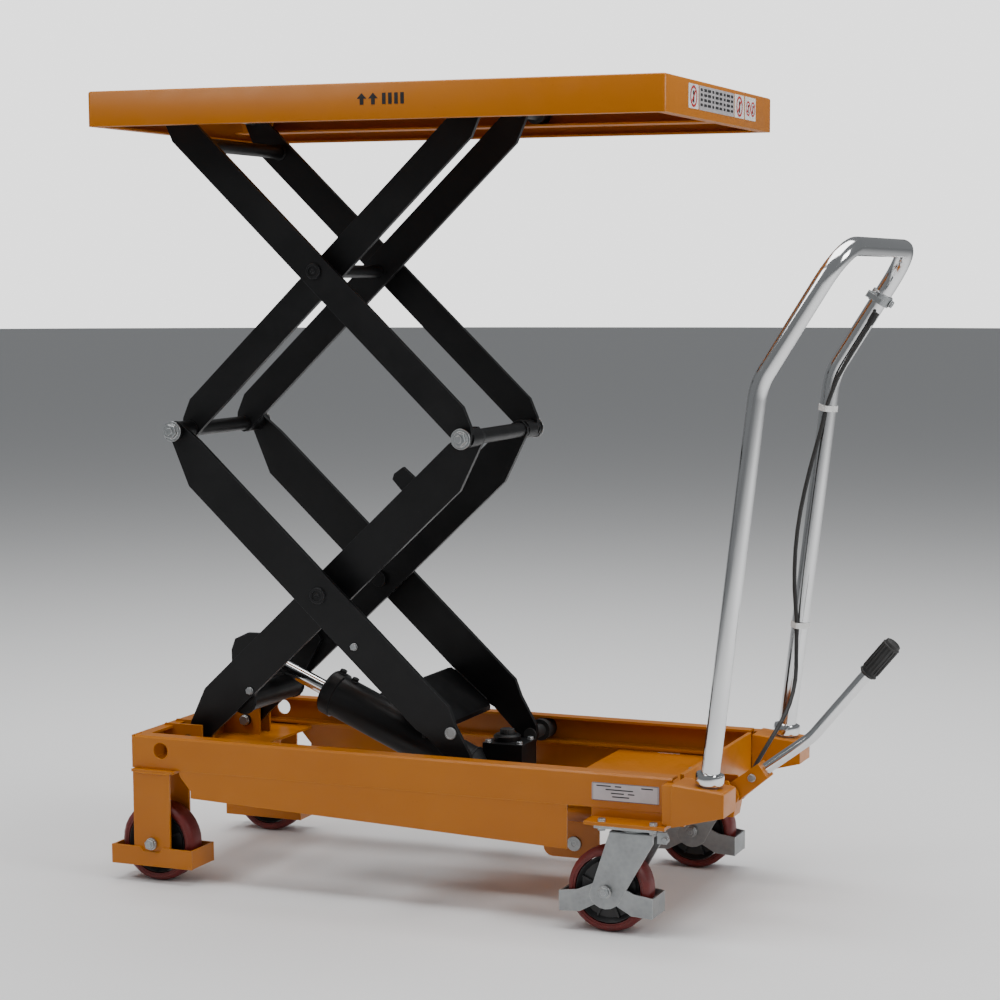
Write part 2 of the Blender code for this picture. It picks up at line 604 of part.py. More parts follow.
def rollers():
    """Each roller has its own journal, which turns in the arm's end."""
    for label, side in SIDES:
        for name, centre, arm_span, radius, span in (
            (f"{label}_lower_roller", LOW_RIGHT, OUTER_ARM_Y, 0.0175, (0.1660, 0.1965)),
            (f"{label}_upper_roller", TOP_RIGHT, INNER_ARM_Y, 0.0165, (0.1500, 0.1780)),
        ):
            sided_shaft(name, centre, side, [
                (0.0105, arm_span[0] - 0.004, arm_span[0] - GAP), (0.008, arm_span[0] - GAP, arm_span[1] + GAP),
                (0.0105, arm_span[1] + GAP, span[0]), (radius, span[0], span[1])], "black_rubber", 24)


# ---- Platform -----------------------------------------------------------------------
PLATFORM_EAR_Y = (0.1405, 0.1455)
TRACK_Y = (0.150, 0.190)
LIP = 0.016


def rectangle(half_x, half_y, z, radius):
    """A rectangle with small round corners, as one ring of points at height z."""
    points = []
    for quarter, (sx, sy) in enumerate(((1, 1), (-1, 1), (-1, -1), (1, -1))):
        centre = (sx * (half_x - radius), sy * (half_y - radius))
        points += arc(centre, radius, 90 * quarter, 90 * quarter + 90, 3)
    return [Vector((x, y, z)) for x, y in points]


def platform_tray():
    """Deck folded down on four sides, with a lip turned in along each lower edge."""
    half_x, half_y = PLATFORM_LENGTH / 2, PLATFORM_WIDTH / 2
    top, low = TABLE_HEIGHT, TABLE_HEIGHT - PLATFORM_DEPTH
    rings = [
        rectangle(half_x - 0.003, half_y - 0.003, top, 0.003),
        rectangle(half_x - 0.001, half_y - 0.001, top - 0.001, 0.005),
        rectangle(half_x, half_y, top - 0.003, 0.006),
        rectangle(half_x, half_y, low, 0.006),
        rectangle(half_x - LIP, half_y - LIP, low, 0.002),
        rectangle(half_x - LIP, half_y - LIP, low + SHEET, 0.002),
        rectangle(half_x - SHEET, half_y - SHEET, low + SHEET, 0.003),
        rectangle(half_x - SHEET, half_y - SHEET, top - SHEET, 0.003),
    ]
    bm = bmesh.new()
    rows = [[bm.verts.new(v) for v in ring] for ring in rings]
    for low_row, high_row in zip(rows, rows[1:]):
        for i in range(len(low_row)):
            bm.faces.new((low_row[i - 1], low_row[i], high_row[i], high_row[i - 1]))
    bm.faces.new(rows[0])
    bm.faces.new(rows[-1])
    return finish("platform_tray", bm, "yellow_paint", (TOP_LEFT[0], 0, TOP_LEFT[1]))


def platform_track(label, side):
    """Angle track for the upper roller, and the ear that holds the arm's top pivot."""
    under = TABLE_HEIGHT - SHEET - GAP
    ledge = TOP_Z - 0.0165 - 0.0005
    section = [(TRACK_Y[0], ledge - SHEET), (TRACK_Y[1], ledge - SHEET), (TRACK_Y[1], under),
               (TRACK_Y[1] - SHEET, under), (TRACK_Y[1] - SHEET, ledge), (TRACK_Y[0], ledge)]
    track = slab(f"{label}_platform_track", mirrored(section, side), -0.430, 0.425, "x", "yellow_paint")
    outline = [(LEFT_X - 0.035, under), (LEFT_X - 0.024, TOP_Z - 0.021), (LEFT_X + 0.024, TOP_Z - 0.021),
               (LEFT_X + 0.035, under)]
    ear = slab(f"{label}_platform_ear_piece", outline, *across(side, *PLATFORM_EAR_Y), "y", "yellow_paint",
               [circle((LEFT_X, TOP_Z), 0.0083)])
    foot = box(f"{label}_ear_foot_piece", (LEFT_X - 0.020, across(side, 0.1450, 0.1510)[0], TOP_Z - 0.0200),
               (LEFT_X + 0.020, across(side, 0.1450, 0.1510)[1], TOP_Z - 0.0170), "yellow_paint")
    return welded(track, ear, foot)


# ---- Hydraulics ---------------------------------------------------------------------
ROD_RADIUS = 0.012
EYE_OUTER, EYE_BORE = 0.0250, 0.0165
LUG_TUBE = (-0.302, 0.272)


def cylinder_axis():
    return Vector((ROD_PIN[0] - CYLINDER_PIN[0], 0, ROD_PIN[1] - CYLINDER_PIN[1])).normalized()


def hydraulics():
    base = (CYLINDER_PIN[0], 0, CYLINDER_PIN[1])
    along = cylinder_axis()
    end = BARREL_LENGTH
    barrel = [
        (0, -0.0165), (0.0145, -0.0165), (0.020, 0.015), (0.034, 0.035), (0.034, end - 0.022),
        (0.037, end - 0.020), (0.037, end - 0.004), (0.034, end), (0.0124, end), (0.0124, 0.030), (0, 0.030),
    ]
    body = turned("lift_cylinder", barrel, base, along, "black_paint", 24)
    journal = shaft("cylinder_journal_piece", CYLINDER_PIN, [(0.0095, -0.050, 0.050)], "steel", 20)
    welded(body, journal)
    length = (Vector((ROD_PIN[0], 0, ROD_PIN[1])) - Vector(base)).length
    rod = turned("piston_rod", [(0, 0.125), (ROD_RADIUS, 0.126), (ROD_RADIUS, length - 0.020), (0, length - 0.019)],
                 base, along, "chrome", 20)
    eye = slab("rod_eye_piece", circle(ROD_PIN, EYE_OUTER), -0.0185, 0.0185, "y", "steel",
               [circle(ROD_PIN, EYE_BORE)])
    welded(rod, eye)


def lift_lug():
    """The heavy tube between the inner lower arms, its two lugs and the rod's pin."""
    reach = INNER_ARM_Y[0] - GAP
    tube = shaft("lift_lug_tube", LUG_TUBE, [(0.020, -reach, reach)], "black_paint", 24)
    pieces = [shaft("rod_pin_piece", ROD_PIN, [(0.008, -0.0800, 0.0800)], "steel")]
    outline = [(-0.3190, 0.2620), (-0.2900, 0.2700), (-0.2450, 0.3500), (-0.2690, 0.3810), (-0.2936, 0.3805),
               (-0.3157, 0.3700), (-0.3225, 0.3520), (-0.3215, 0.3200)]
    for label, side in SIDES:
        pieces.append(slab(f"{label}_lug_piece", outline, *across(side, 0.0745, 0.0822), "y", "black_paint"))
    return welded(tube, *pieces)


def pump():
    """Beam between the rails with the cylinder's ears and the foot guard, the pump and its plunger."""
    beam = box("pump_beam", (0.068, -0.1985, 0.122), (0.115, 0.1985, 0.140), "yellow_paint")
    pieces = [box("beam_tongue_piece", (0.100, -0.101, 0.1225), (0.300, 0.101, 0.1265), "yellow_paint")]
    for label, side in SIDES:
        outline = [*arc(CYLINDER_PIN, 0.0175, 20, 160, 8), (0.069, 0.130), (0.109, 0.130)]
        pieces.append(slab(f"{label}_beam_ear_piece", outline, *across(side, 0.0385, 0.0455), "y", "yellow_paint",
                           [circle(CYLINDER_PIN, 0.0098)]))
        cheek = [(0.3040, 0.1300), (0.2200, 0.1300), (0.2150, 0.1255), (0.2150, 0.0900),
                 *arc((0.2300, 0.0890), 0.0150, 180, 270, 4), (0.2920, 0.0740), (0.3040, 0.0860)]
        pieces.append(slab(f"{label}_beam_cheek_piece", cheek, *across(side, 0.0975, 0.1015), "y", "yellow_paint",
                           [circle(FOOT_PIN, 0.0085)]))
    welded(beam, *pieces)
    block = box("pump_block", (0.050, 0.052, 0.1403), (0.1175, 0.112, 0.205), "black_paint")
    well = turned("reservoir_piece", [(0, 0), (0.022, 0), (0.022, 0.0095), (0.018, 0.0125), (0, 0.0125)],
                  (0.080, 0.082, 0.204), (0, 0, 1), "black_paint", 20)
    nose = box("pump_nose_piece", (0.1163, -0.022, 0.1268), (0.150, 0.108, 0.158), "black_paint")
    bore = turned("plunger_bore_cutter", [(0, 0), (0.0095, 0), (0.0095, 0.04), (0, 0.04)],
                  (0.1195, 0, PLUNGER_Z), (1, 0, 0), "black_paint", 20)
    welded(block, well, nose)
    cut(block, bore)
    turned("pump_plunger", [(0, 0.0), (0.009, 0.0), (0.009, 0.030), (0.006, 0.034), (0.006, PLUNGER_REACH),
                            (0, PLUNGER_REACH)], (0.1450, 0, PLUNGER_Z), (1, 0, 0), "steel", 20)


FOOT_PIN = (0.2650, 0.0960)
PLUNGER_Z = 0.1400
PLUNGER_REACH = 0.3255


# ---- Pedal --------------------------------------------------------------------------
def pedal():
    """Folded yellow arm on the pedal ears, its chrome tube and the ribbed grip."""
    x, z = PEDAL_PIVOT
    arm_outline = [
        (x - 0.0140, z + 0.004), (x - 0.0100, z - 0.0145), (x - 0.0085, PLUNGER_Z - 0.004),
        (x + 0.0060, PLUNGER_Z - 0.004), (x + 0.0100, z - 0.0120), (x + 0.0580, z + 0.0290),
        (x + 0.0430, z + 0.0500), (x - 0.0040, z + 0.0150),
    ]
    origin = (x, 0, z)
    pedal_arm = slab("pedal_arm", arm_outline, -0.0165, 0.0165, "y", "yellow_paint", (), origin)
    journal = shaft("pedal_journal_piece", PEDAL_PIVOT, [(0.008, -0.0212, 0.0212)], "steel")
    welded(pedal_arm, journal)
    path = rounded_path([(x + 0.0440, 0, z + 0.0350), (x + 0.1210, 0, z + 0.0930), (0.7205, 0, 0.4085)],
                        [0.070], 6)
    tube = swept("pedal_tube", path, 0.0090, "chrome", 14, origin)
    slot = swept("pedal_slot_cutter", [path[0] - (path[1] - path[0]).normalized() * 0.002, path[1]], 0.0093,
                 "chrome", 14)
    cut(pedal_arm, slot)
    tip, back = path[-1], (path[-2] - path[-1]).normalized()
    turned("pedal_grip", [(0.0093, -0.002), (0.0118, -0.002), (0.0128, 0.004), (0.0128, 0.056), (0.0112, 0.060),
                          (0.0093, 0.060)], tip + back * 0.001, back, "black_rubber", 20, ring=True)
    return tube


# ---- Handle -------------------------------------------------------------------------
def leg_x(z):
    return HANDLE_FOOT[0] + (z - HANDLE_FOOT[1]) * math.tan(HANDLE_LEAN)


def handle():
    foot_z = HANDLE_FOOT[1] - 0.022
    bend = (leg_x(HANDLE_BEND_Z), HANDLE_BEND_Z)
    corners = [
        (leg_x(foot_z), -HANDLE_Y, foot_z), (bend[0], -HANDLE_Y, bend[1]),
        (HANDLE_TOP[0], -HANDLE_Y, HANDLE_TOP[1]), (HANDLE_TOP[0], HANDLE_Y, HANDLE_TOP[1]),
        (bend[0], HANDLE_Y, bend[1]), (leg_x(foot_z), HANDLE_Y, foot_z),
    ]
    path = rounded_path(corners, [0.090, 0.058, 0.058, 0.090], 7)
    return swept("push_handle", path, HANDLE_RADIUS, "chrome", 16)


LEVER_Z = 0.905


def upper_leg_point(z, y=HANDLE_Y):
    bend_x = leg_x(HANDLE_BEND_Z)
    slope = (HANDLE_TOP[0] - bend_x) / (HANDLE_TOP[1] - HANDLE_BEND_Z)
    return Vector((bend_x + (z - HANDLE_BEND_Z) * slope, y, z))


def release_lever():
    """Bracket clamped to the far leg, and the thumb lever that pulls the cable."""
    centre = upper_leg_point(LEVER_Z)
    leg = (upper_leg_point(0.95) - upper_leg_point(0.85)).normalized()
    across_leg = Vector((0, 1, 0)).cross(leg)
    pivot = centre + Vector((0, -0.0270, 0))
    clamp = turned("lever_clamp", [(HANDLE_RADIUS + GAP, -0.008), (0.0170, -0.008), (0.0170, 0.008),
                                   (HANDLE_RADIUS + GAP, 0.008)], centre, leg, "zinc", 20, ring=True)
    ear = bar("clamp_ear_piece", centre + Vector((0, -0.0155, 0)), centre + Vector((0, -0.0345, 0)), leg,
              0.0065, across_leg, -0.0090, -0.0060, "zinc")
    welded(clamp, ear)
    lever = bar("release_lever", pivot + Vector((0, 0.006, 0)), pivot + Vector((0, -0.052, 0)) + leg * 0.006, leg,
                0.0055, across_leg, -0.0056, -0.0026, "zinc", pivot)
    blade = bar("lever_blade_piece", pivot + Vector((0, -0.046, 0)) + leg * 0.005,
                pivot + Vector((0, -0.054, 0)) + leg * 0.006, leg, 0.0040, across_leg, -0.0050, 0.0200, "zinc")
    welded(lever, blade)
    return lever


def bar(name, start, end, up, half, normal, low, high, paint_name, origin=(0, 0, 0)):
    """A flat bar from start to end, 2*half deep along up, between low and high along normal."""
    bm = bmesh.new()
    corners = [start - up * half, end - up * half, end + up * half, start + up * half]
    lower = [bm.verts.new(c + normal * low) for c in corners]
    upper = [bm.verts.new(c + normal * high) for c in corners]
    bm.faces.new(lower)
    bm.faces.new(upper)
    for i in range(4):
        bm.faces.new((lower[i - 1], lower[i], upper[i], upper[i - 1]))
    return finish(name, bm, paint_name, origin)


# The release cable's route, clipped to the far leg at two places, then into the pump.
CABLE_ROUTE = [
    (0.6440, 0.1790, 0.8830), (0.6310, 0.1792, 0.8600), (0.6060, 0.1793, 0.8200), (0.5870, 0.1794, 0.7870),
    (0.5745, 0.1795, 0.7560), (0.5680, 0.1796, 0.7370), (0.5610, 0.1780, 0.7050), (0.5460, 0.1720, 0.6450),
    (0.5330, 0.1670, 0.5800), (0.5260, 0.1660, 0.5200), (0.5240, 0.1700, 0.4600), (0.5260, 0.1778, 0.4080),
    (0.5255, 0.1790, 0.3920), (0.5270, 0.1740, 0.3550), (0.5300, 0.1600, 0.3180), (0.5290, 0.1320, 0.2850),
    (0.5250, 0.0980, 0.2620), (0.5170, 0.0660, 0.2380), (0.5030, 0.0480, 0.2080), (0.4860, 0.0430, 0.1740),
    (0.4640, 0.0400, 0.1470), (0.4300, 0.0380, 0.1420), (0.3600, 0.0340, 0.1440), (0.2800, 0.0260, 0.1420),
    (0.2000, 0.0210, 0.1400), (0.1503, 0.0190, 0.1400),
]
CABLE_RADIUS = 0.0033


def smooth_route(points, per_span=2):
    """Points on a Catmull-Rom curve through the given points."""
    points = [Vector(p) for p in points]
    padded = [2 * points[0] - points[1], *points, 2 * points[-1] - points[-2]]
    route = []
    for a, b, c, d in zip(padded, padded[1:], padded[2:], padded[3:]):
        for i in range(per_span):
            t = i / per_span
            route.append(0.5 * (2 * b + (c - a) * t + (2 * a - 5 * b + 4 * c - d) * t * t
                                + (3 * b - a - 3 * c + d) * t ** 3))
    route.append(points[-1])
    return route


def release_cable():
    return swept("release_cable", smooth_route(CABLE_ROUTE), CABLE_RADIUS, "black_rubber", 8)


# ---- The whole table ----------------------------------------------------------------
def build():
    for obj in list(bpy.data.objects):
        bpy.data.objects.remove(obj, do_unlink=True)
    for label, side in SIDES:
        side_rail(label, side)
        handle_socket(label, side)
        fixed_wheel(label, side)
        caster(label, side)
        platform_track(label, side)
    left_cross_member()
    right_cross_member()
    deck_plate()
    scissor_arms()
    cross_shafts()
    lower_arm_cross_plate()
    upper_tie_tube()
    rollers()
    platform_tray()
    hydraulics()
    lift_lug()
    pump()
    pedal()
    handle()
    release_lever()
    release_cable()
    stand = bpy.data.objects.new("box_centre", None)
    stand.location = (-BOX_CENTRE_X, 0, 0)
    bpy.context.scene.collection.objects.link(stand)
    for obj in list(bpy.data.objects):
        if obj is not stand:
            obj.parent = stand


build()
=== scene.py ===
"""Looks of the scissor lift table: finishes for the CAD nodes, the small hardware, light and camera.

Metres, +Z up. Places are written from the middle of the platform, +X towards the push handle and
-Y the near side, and at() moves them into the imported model's frame.
"""

import json
import math

import bmesh
import bpy
from mathutils import Matrix, Vector


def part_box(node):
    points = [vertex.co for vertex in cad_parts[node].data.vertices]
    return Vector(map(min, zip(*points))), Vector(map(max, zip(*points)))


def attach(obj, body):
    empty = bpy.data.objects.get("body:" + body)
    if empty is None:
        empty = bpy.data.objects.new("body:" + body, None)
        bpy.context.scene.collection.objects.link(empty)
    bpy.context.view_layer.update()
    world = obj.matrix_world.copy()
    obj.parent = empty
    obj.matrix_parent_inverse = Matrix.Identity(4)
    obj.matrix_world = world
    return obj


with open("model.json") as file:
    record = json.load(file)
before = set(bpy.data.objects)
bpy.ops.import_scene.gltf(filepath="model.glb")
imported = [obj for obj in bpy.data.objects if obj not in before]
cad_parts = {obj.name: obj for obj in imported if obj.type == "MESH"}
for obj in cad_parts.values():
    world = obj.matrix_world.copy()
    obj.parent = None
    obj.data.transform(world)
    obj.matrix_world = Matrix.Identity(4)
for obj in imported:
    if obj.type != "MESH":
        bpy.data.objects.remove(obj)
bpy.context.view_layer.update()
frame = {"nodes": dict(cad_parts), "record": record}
NODES = frame["nodes"]
SIDES = (("near", -1), ("far", 1))

# ---- Places read from the frame -------------------------------------------------------
tray_low, tray_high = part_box("platform_tray")
MIDDLE_X = (tray_low.x + tray_high.x) / 2


def at(x, y, z):
    return Vector((x + MIDDLE_X, y, z))


LEFT_X, RIGHT_X, CENTRE_X = -0.385, 0.102, -0.1415
LOW_Z, MID_Z, TOP_Z = 0.208, 0.699, 1.190
ARM_FACE = 0.135
PIN_END = ARM_FACE + 0.0031
SHAFT_END = 0.145
HANDLE_Y, HANDLE_LEAN = 0.1975, math.radians(6.8)
HANDLE_FOOT, LEVER_PLACE = (0.505, 0.221), (0.6457, 0.905)
CASTER_Y, SWIVEL_X, CASTER_X, AXLE_Z = 0.198, 0.398, 0.360, 0.0625
FIXED_X, FIXED_Y = -0.395, 0.180
TREAD_HALF, HUB_RIBS = 0.019, 8
CYLINDER_PIN, ROD_PIN, BARREL_LENGTH = (0.085, 0.161), (-0.311, 0.333), 0.304


# ---- Finishes -------------------------------------------------------------------------
class Nodes:
    """Short calls for the nodes of one material."""

    def __init__(self, name):
        self.material = bpy.data.materials.new(name)
        self.material.use_nodes = True
        self.tree = self.material.node_tree
        self.shader = self.tree.nodes["Principled BSDF"]
        self.place = self.add("ShaderNodeTexCoord").outputs["Object"]

    def add(self, kind, **inputs):
        node = self.tree.nodes.new(kind)
        for key, value in inputs.items():
            node.inputs[key.replace("_", " ")].default_value = value
        return node

    def link(self, out, into):
        self.tree.links.new(out, into)

    def noise(self, scale, detail=3.0, roughness=0.55, stretch=None):
        node = self.add("ShaderNodeTexNoise", Scale=scale, Detail=detail, Roughness=roughness)
        place = self.place
        if stretch:
            mapping = self.add("ShaderNodeMapping", Scale=stretch)
            self.link(place, mapping.inputs["Vector"])
            place = mapping.outputs["Vector"]
        self.link(place, node.inputs["Vector"])
        return node.outputs["Fac"]

    def spread(self, value, low, high, to_low=0.0, to_high=1.0):
        node = self.tree.nodes.new("ShaderNodeMapRange")
        node.clamp = True
        for key, number in (("From Min", low), ("From Max", high), ("To Min", to_low), ("To Max", to_high)):
            node.inputs[key].default_value = number
        self.link(value, node.inputs["Value"])
        return node.outputs["Result"]

    def mix(self, factor, first, second):
        node = self.tree.nodes.new("ShaderNodeMix")
        node.data_type = "RGBA"
        self.link(factor, node.inputs["Factor"])
        for socket, colour in ((node.inputs["A"], first), (node.inputs["B"], second)):
            if isinstance(colour, tuple):
                socket.default_value = (*colour, 1.0)
            else:
                self.link(colour, socket)
        return node.outputs["Result"]

    def edges(self, radius, low=0.02, high=0.22):
        """1 along the sharp edges of the surface, 0 on its flats: the mask the materials use to paint a
        highlight along edges.
        """
        bevel = self.add("ShaderNodeBevel", Radius=radius)
        bevel.samples = 4
        geometry = self.add("ShaderNodeNewGeometry")
        dot = self.tree.nodes.new("ShaderNodeVectorMath")
        dot.operation = "DOT_PRODUCT"
        self.link(bevel.outputs["Normal"], dot.inputs[0])
        self.link(geometry.outputs["Normal"], dot.inputs[1])
        return self.spread(dot.outputs["Value"], 1.0 - low, 1.0 - high)

    def bump(self, height, distance, strength=1.0, rounded=0.0):
        node = self.add("ShaderNodeBump", Strength=strength, Distance=distance)
        self.link(height, node.inputs["Height"])
        if rounded:
            bevel = self.add("ShaderNodeBevel", Radius=rounded)
            bevel.samples = 4
            self.link(bevel.outputs["Normal"], node.inputs["Normal"])
        self.link(node.outputs["Normal"], self.shader.inputs["Normal"])

    def done(self, colour, roughness, metallic=0.0, **constants):
        for socket, value in (("Base Color", colour), ("Roughness", roughness)):
            if isinstance(value, bpy.types.NodeSocket):
                self.link(value, self.shader.inputs[socket])
            elif isinstance(value, tuple):
                self.shader.inputs[socket].default_value = (*value, 1.0)
            else:
                self.shader.inputs[socket].default_value = value
        self.shader.inputs["Metallic"].default_value = metallic
        for key, value in constants.items():
            self.shader.inputs[key.replace("_", " ")].default_value = value
        return self.material


def yellow_paint():
    """Orange-yellow powder coat: orange peel, a painted highlight along folds and edges, faint handling dirt.
    """
    n = Nodes("yellow_powder_coat")
    broad = n.spread(n.noise(3.5, 4.0), 0.35, 0.70)
    colour = n.mix(broad, (0.480, 0.150, 0.0015), (0.430, 0.128, 0.0010))
    # Painted highlight: the folds and edges are painted a lighter orange.
    colour = n.mix(n.edges(0.0018), colour, (0.640, 0.250, 0.012))
    specks = n.spread(n.noise(240.0, 2.0, 0.7), 0.70, 0.76, 0.0, 0.30)
    colour = n.mix(specks, colour, (0.200, 0.070, 0.004))
    n.bump(n.noise(420.0, 2.0), 0.00025, 0.30, rounded=0.0011)
    return n.done(colour, n.spread(n.noise(28.0, 5.0), 0.3, 0.75, 0.28, 0.44), Specular_IOR_Level=0.30,
                  Coat_Weight=0.10, Coat_Roughness=0.20)


def black_paint():
    """Matte black enamel on flat bar: fine texture, dusty patches, cut edges painted lighter, partly as wear
    and partly as a painted highlight.
    """
    n = Nodes("black_enamel")
    dust = n.spread(n.noise(7.0, 6.0, 0.65), 0.48, 0.80, 0.0, 0.55)
    colour = n.mix(dust, (0.0030, 0.0030, 0.0034), (0.0085, 0.0085, 0.0095))
    # Edges painted lighter grey: partly wear, partly a painted highlight.
    colour = n.mix(n.edges(0.0011), colour, (0.065, 0.067, 0.072))
    chips = n.spread(n.noise(160.0, 3.0, 0.8), 0.72, 0.75, 0.0, 0.6)
    colour = n.mix(chips, colour, (0.030, 0.029, 0.028))
    n.bump(n.noise(520.0, 3.0), 0.00022, 0.45, rounded=0.0008)
    return n.done(colour, n.spread(n.noise(18.0, 5.0), 0.3, 0.75, 0.34, 0.52), Specular_IOR_Level=0.30)


def chrome():
    """Bright plated tube with hairline polishing marks and a few dull finger patches."""
    n = Nodes("chrome_plate")
    lines = n.noise(60.0, 3.0, 0.6, stretch=(14.0, 14.0, 0.6))
    dull = n.spread(n.noise(9.0, 4.0), 0.50, 0.78, 0.0, 0.10)
    add = n.tree.nodes.new("ShaderNodeMath")
    add.operation = "ADD"
    n.link(n.spread(lines, 0.35, 0.75, 0.05, 0.12), add.inputs[0])
    n.link(dull, add.inputs[1])
    colour = n.mix(n.spread(n.noise(5.0), 0.3, 0.7), (0.760, 0.765, 0.770), (0.690, 0.695, 0.700))
    n.bump(lines, 0.00004, 0.35)
    return n.done(colour, add.outputs["Value"], 1.0)


def zinc():
    """Zinc plate on pressed steel: cloudy spangle with darker patches at random, and a painted highlight
    along the folds and edges.
    """
    n = Nodes("zinc_plate")
    cells = n.add("ShaderNodeTexVoronoi", Scale=150.0)
    n.link(n.place, cells.inputs["Vector"])
    spangle = n.spread(cells.outputs["Distance"], 0.0, 0.9, 0.0, 0.45)
    cloud = n.spread(n.noise(22.0, 5.0), 0.35, 0.75)
    colour = n.mix(cloud, (0.330, 0.345, 0.350), (0.235, 0.248, 0.252))
    colour = n.mix(spangle, colour, (0.380, 0.395, 0.400))
    # Painted highlight: the folds and edges are painted a brighter zinc.
    colour = n.mix(n.edges(0.0012), colour, (0.640, 0.655, 0.660))
    n.bump(n.noise(300.0, 3.0), 0.00012, 0.35, rounded=0.0008)
    return n.done(colour, n.spread(n.noise(40.0, 4.0), 0.3, 0.75, 0.34, 0.52), 0.85)


def steel():
    """Turned steel with tool rings and a film of oil."""
    n = Nodes("turned_steel")
    rings = n.noise(90.0, 2.0, 0.5, stretch=(1.0, 12.0, 1.0))
    colour = n.mix(n.spread(rings, 0.35, 0.7), (0.560, 0.555, 0.545), (0.390, 0.385, 0.380))
    n.bump(rings, 0.00006, 0.4, rounded=0.0005)
    return n.done(colour, n.spread(n.noise(35.0), 0.3, 0.7, 0.24, 0.42), 1.0)


def red_tread():
    """Dark red cast polyurethane, scuffed grey where it rolls."""
    n = Nodes("red_polyurethane")
    cloud = n.spread(n.noise(26.0, 5.0), 0.35, 0.75)
    colour = n.mix(cloud, (0.150, 0.010, 0.008), (0.095, 0.008, 0.007))
    scuff = n.spread(n.noise(120.0, 6.0, 0.75), 0.56, 0.74, 0.0, 0.55)
    colour = n.mix(scuff, colour, (0.180, 0.070, 0.062))
    # Painted highlight: the tread's edges are painted a lighter red.
    colour = n.mix(n.edges(0.0014), colour, (0.260, 0.060, 0.050))
    n.bump(n.noise(260.0, 4.0), 0.00020, 0.5, rounded=0.0010)
    return n.done(colour, n.spread(n.noise(50.0, 4.0), 0.3, 0.75, 0.36, 0.60), Specular_IOR_Level=0.45)


def moulded(name, base, worn_and_highlight, roughness, grain):
    """Moulded plastic or rubber with a fine grain, and edges painted lighter, partly as scuffs and partly as
    a painted highlight.
    """
    n = Nodes(name)
    colour = n.mix(n.spread(n.noise(14.0, 5.0), 0.40, 0.80), base, worn_and_highlight)
    # Edges painted lighter: partly scuffs, partly a painted highlight.
    colour = n.mix(n.edges(0.0010), colour, tuple(3.2 * c for c in worn_and_highlight))
    n.bump(n.noise(grain, 3.0), 0.00020, 0.5, rounded=0.0006)
    return n.done(colour, n.spread(n.noise(30.0, 4.0), 0.3, 0.75, roughness - 0.08, roughness + 0.10))


def printed(name, base, tint, roughness):
    """Printed film: nearly even, with faint rubbing."""
    n = Nodes(name)
    colour = n.mix(n.spread(n.noise(60.0, 5.0), 0.45, 0.80), base, tint)
    n.bump(n.noise(700.0, 2.0), 0.00006, 0.3)
    return n.done(colour, n.spread(n.noise(45.0), 0.3, 0.7, roughness - 0.05, roughness + 0.08))


FINISH = {
    "yellow_paint": yellow_paint(),
    "black_paint": black_paint(),
    "chrome": chrome(),
    "zinc": zinc(),
    "steel": steel(),
    "red_tread": red_tread(),
    "black_hub": moulded("black_nylon", (0.010, 0.010, 0.011), (0.024, 0.023, 0.023), 0.46, 380.0),
    "black_rubber": moulded("black_rubber", (0.013, 0.013, 0.013), (0.030, 0.029, 0.028), 0.60, 300.0),
}
LABEL = {
    "white": printed("label_white", (0.78, 0.78, 0.76), (0.66, 0.66, 0.64), 0.40),
    "grey": printed("label_grey", (0.46, 0.44, 0.45), (0.38, 0.36, 0.37), 0.42),
    "black": printed("label_black", (0.012, 0.012, 0.013), (0.030, 0.030, 0.030), 0.40),
    "red": printed("label_red", (0.50, 0.018, 0.016), (0.40, 0.020, 0.018), 0.40),
    "plate": printed("data_plate_foil", (0.50, 0.45, 0.46), (0.42, 0.38, 0.39), 0.34),
}


SHARP_ANGLE = math.radians(35)
MERGE_DISTANCE = 0.00001


def smooth_by_angle():
    """A node group that joins split points and shades every edge under 35 degrees smooth."""
    group = bpy.data.node_groups.new("smooth_by_angle", "GeometryNodeTree")
    group.interface.new_socket("Geometry", in_out="INPUT", socket_type="NodeSocketGeometry")
    group.interface.new_socket("Geometry", in_out="OUTPUT", socket_type="NodeSocketGeometry")
    start, end = group.nodes.new("NodeGroupInput"), group.nodes.new("NodeGroupOutput")
    merge = group.nodes.new("GeometryNodeMergeByDistance")
    merge.inputs["Distance"].default_value = MERGE_DISTANCE
    angle = group.nodes.new("GeometryNodeInputMeshEdgeAngle")
    soft = group.nodes.new("FunctionNodeCompare")
    soft.operation = "LESS_THAN"
    soft.inputs["B"].default_value = SHARP_ANGLE
    faces, edges = (group.nodes.new("GeometryNodeSetShadeSmooth") for _ in range(2))
    faces.domain, edges.domain = "FACE", "EDGE"
    link = group.links.new
    link(start.outputs[0], merge.inputs["Geometry"])
    link(merge.outputs["Geometry"], faces.inputs["Geometry"])
    link(faces.outputs["Geometry"], edges.inputs["Geometry"])
    link(angle.outputs["Unsigned Angle"], soft.inputs["A"])
    link(soft.outputs["Result"], edges.inputs["Shade Smooth"])
    link(edges.outputs["Geometry"], end.inputs[0])
    return group


SMOOTH = smooth_by_angle()


def smooth(obj):
    attribute = obj.data.attributes.get("custom_normal")
    if attribute:
        obj.data.attributes.remove(attribute)
    obj.modifiers.new("smooth_by_angle", "NODES").node_group = SMOOTH


def finish_cad_nodes():
    for part in frame["record"]["subparts"]:
        obj = NODES[part["node"]]
        obj.data.materials.clear()
        obj.data.materials.append(FINISH[part["material_slot"]])
        smooth(obj)


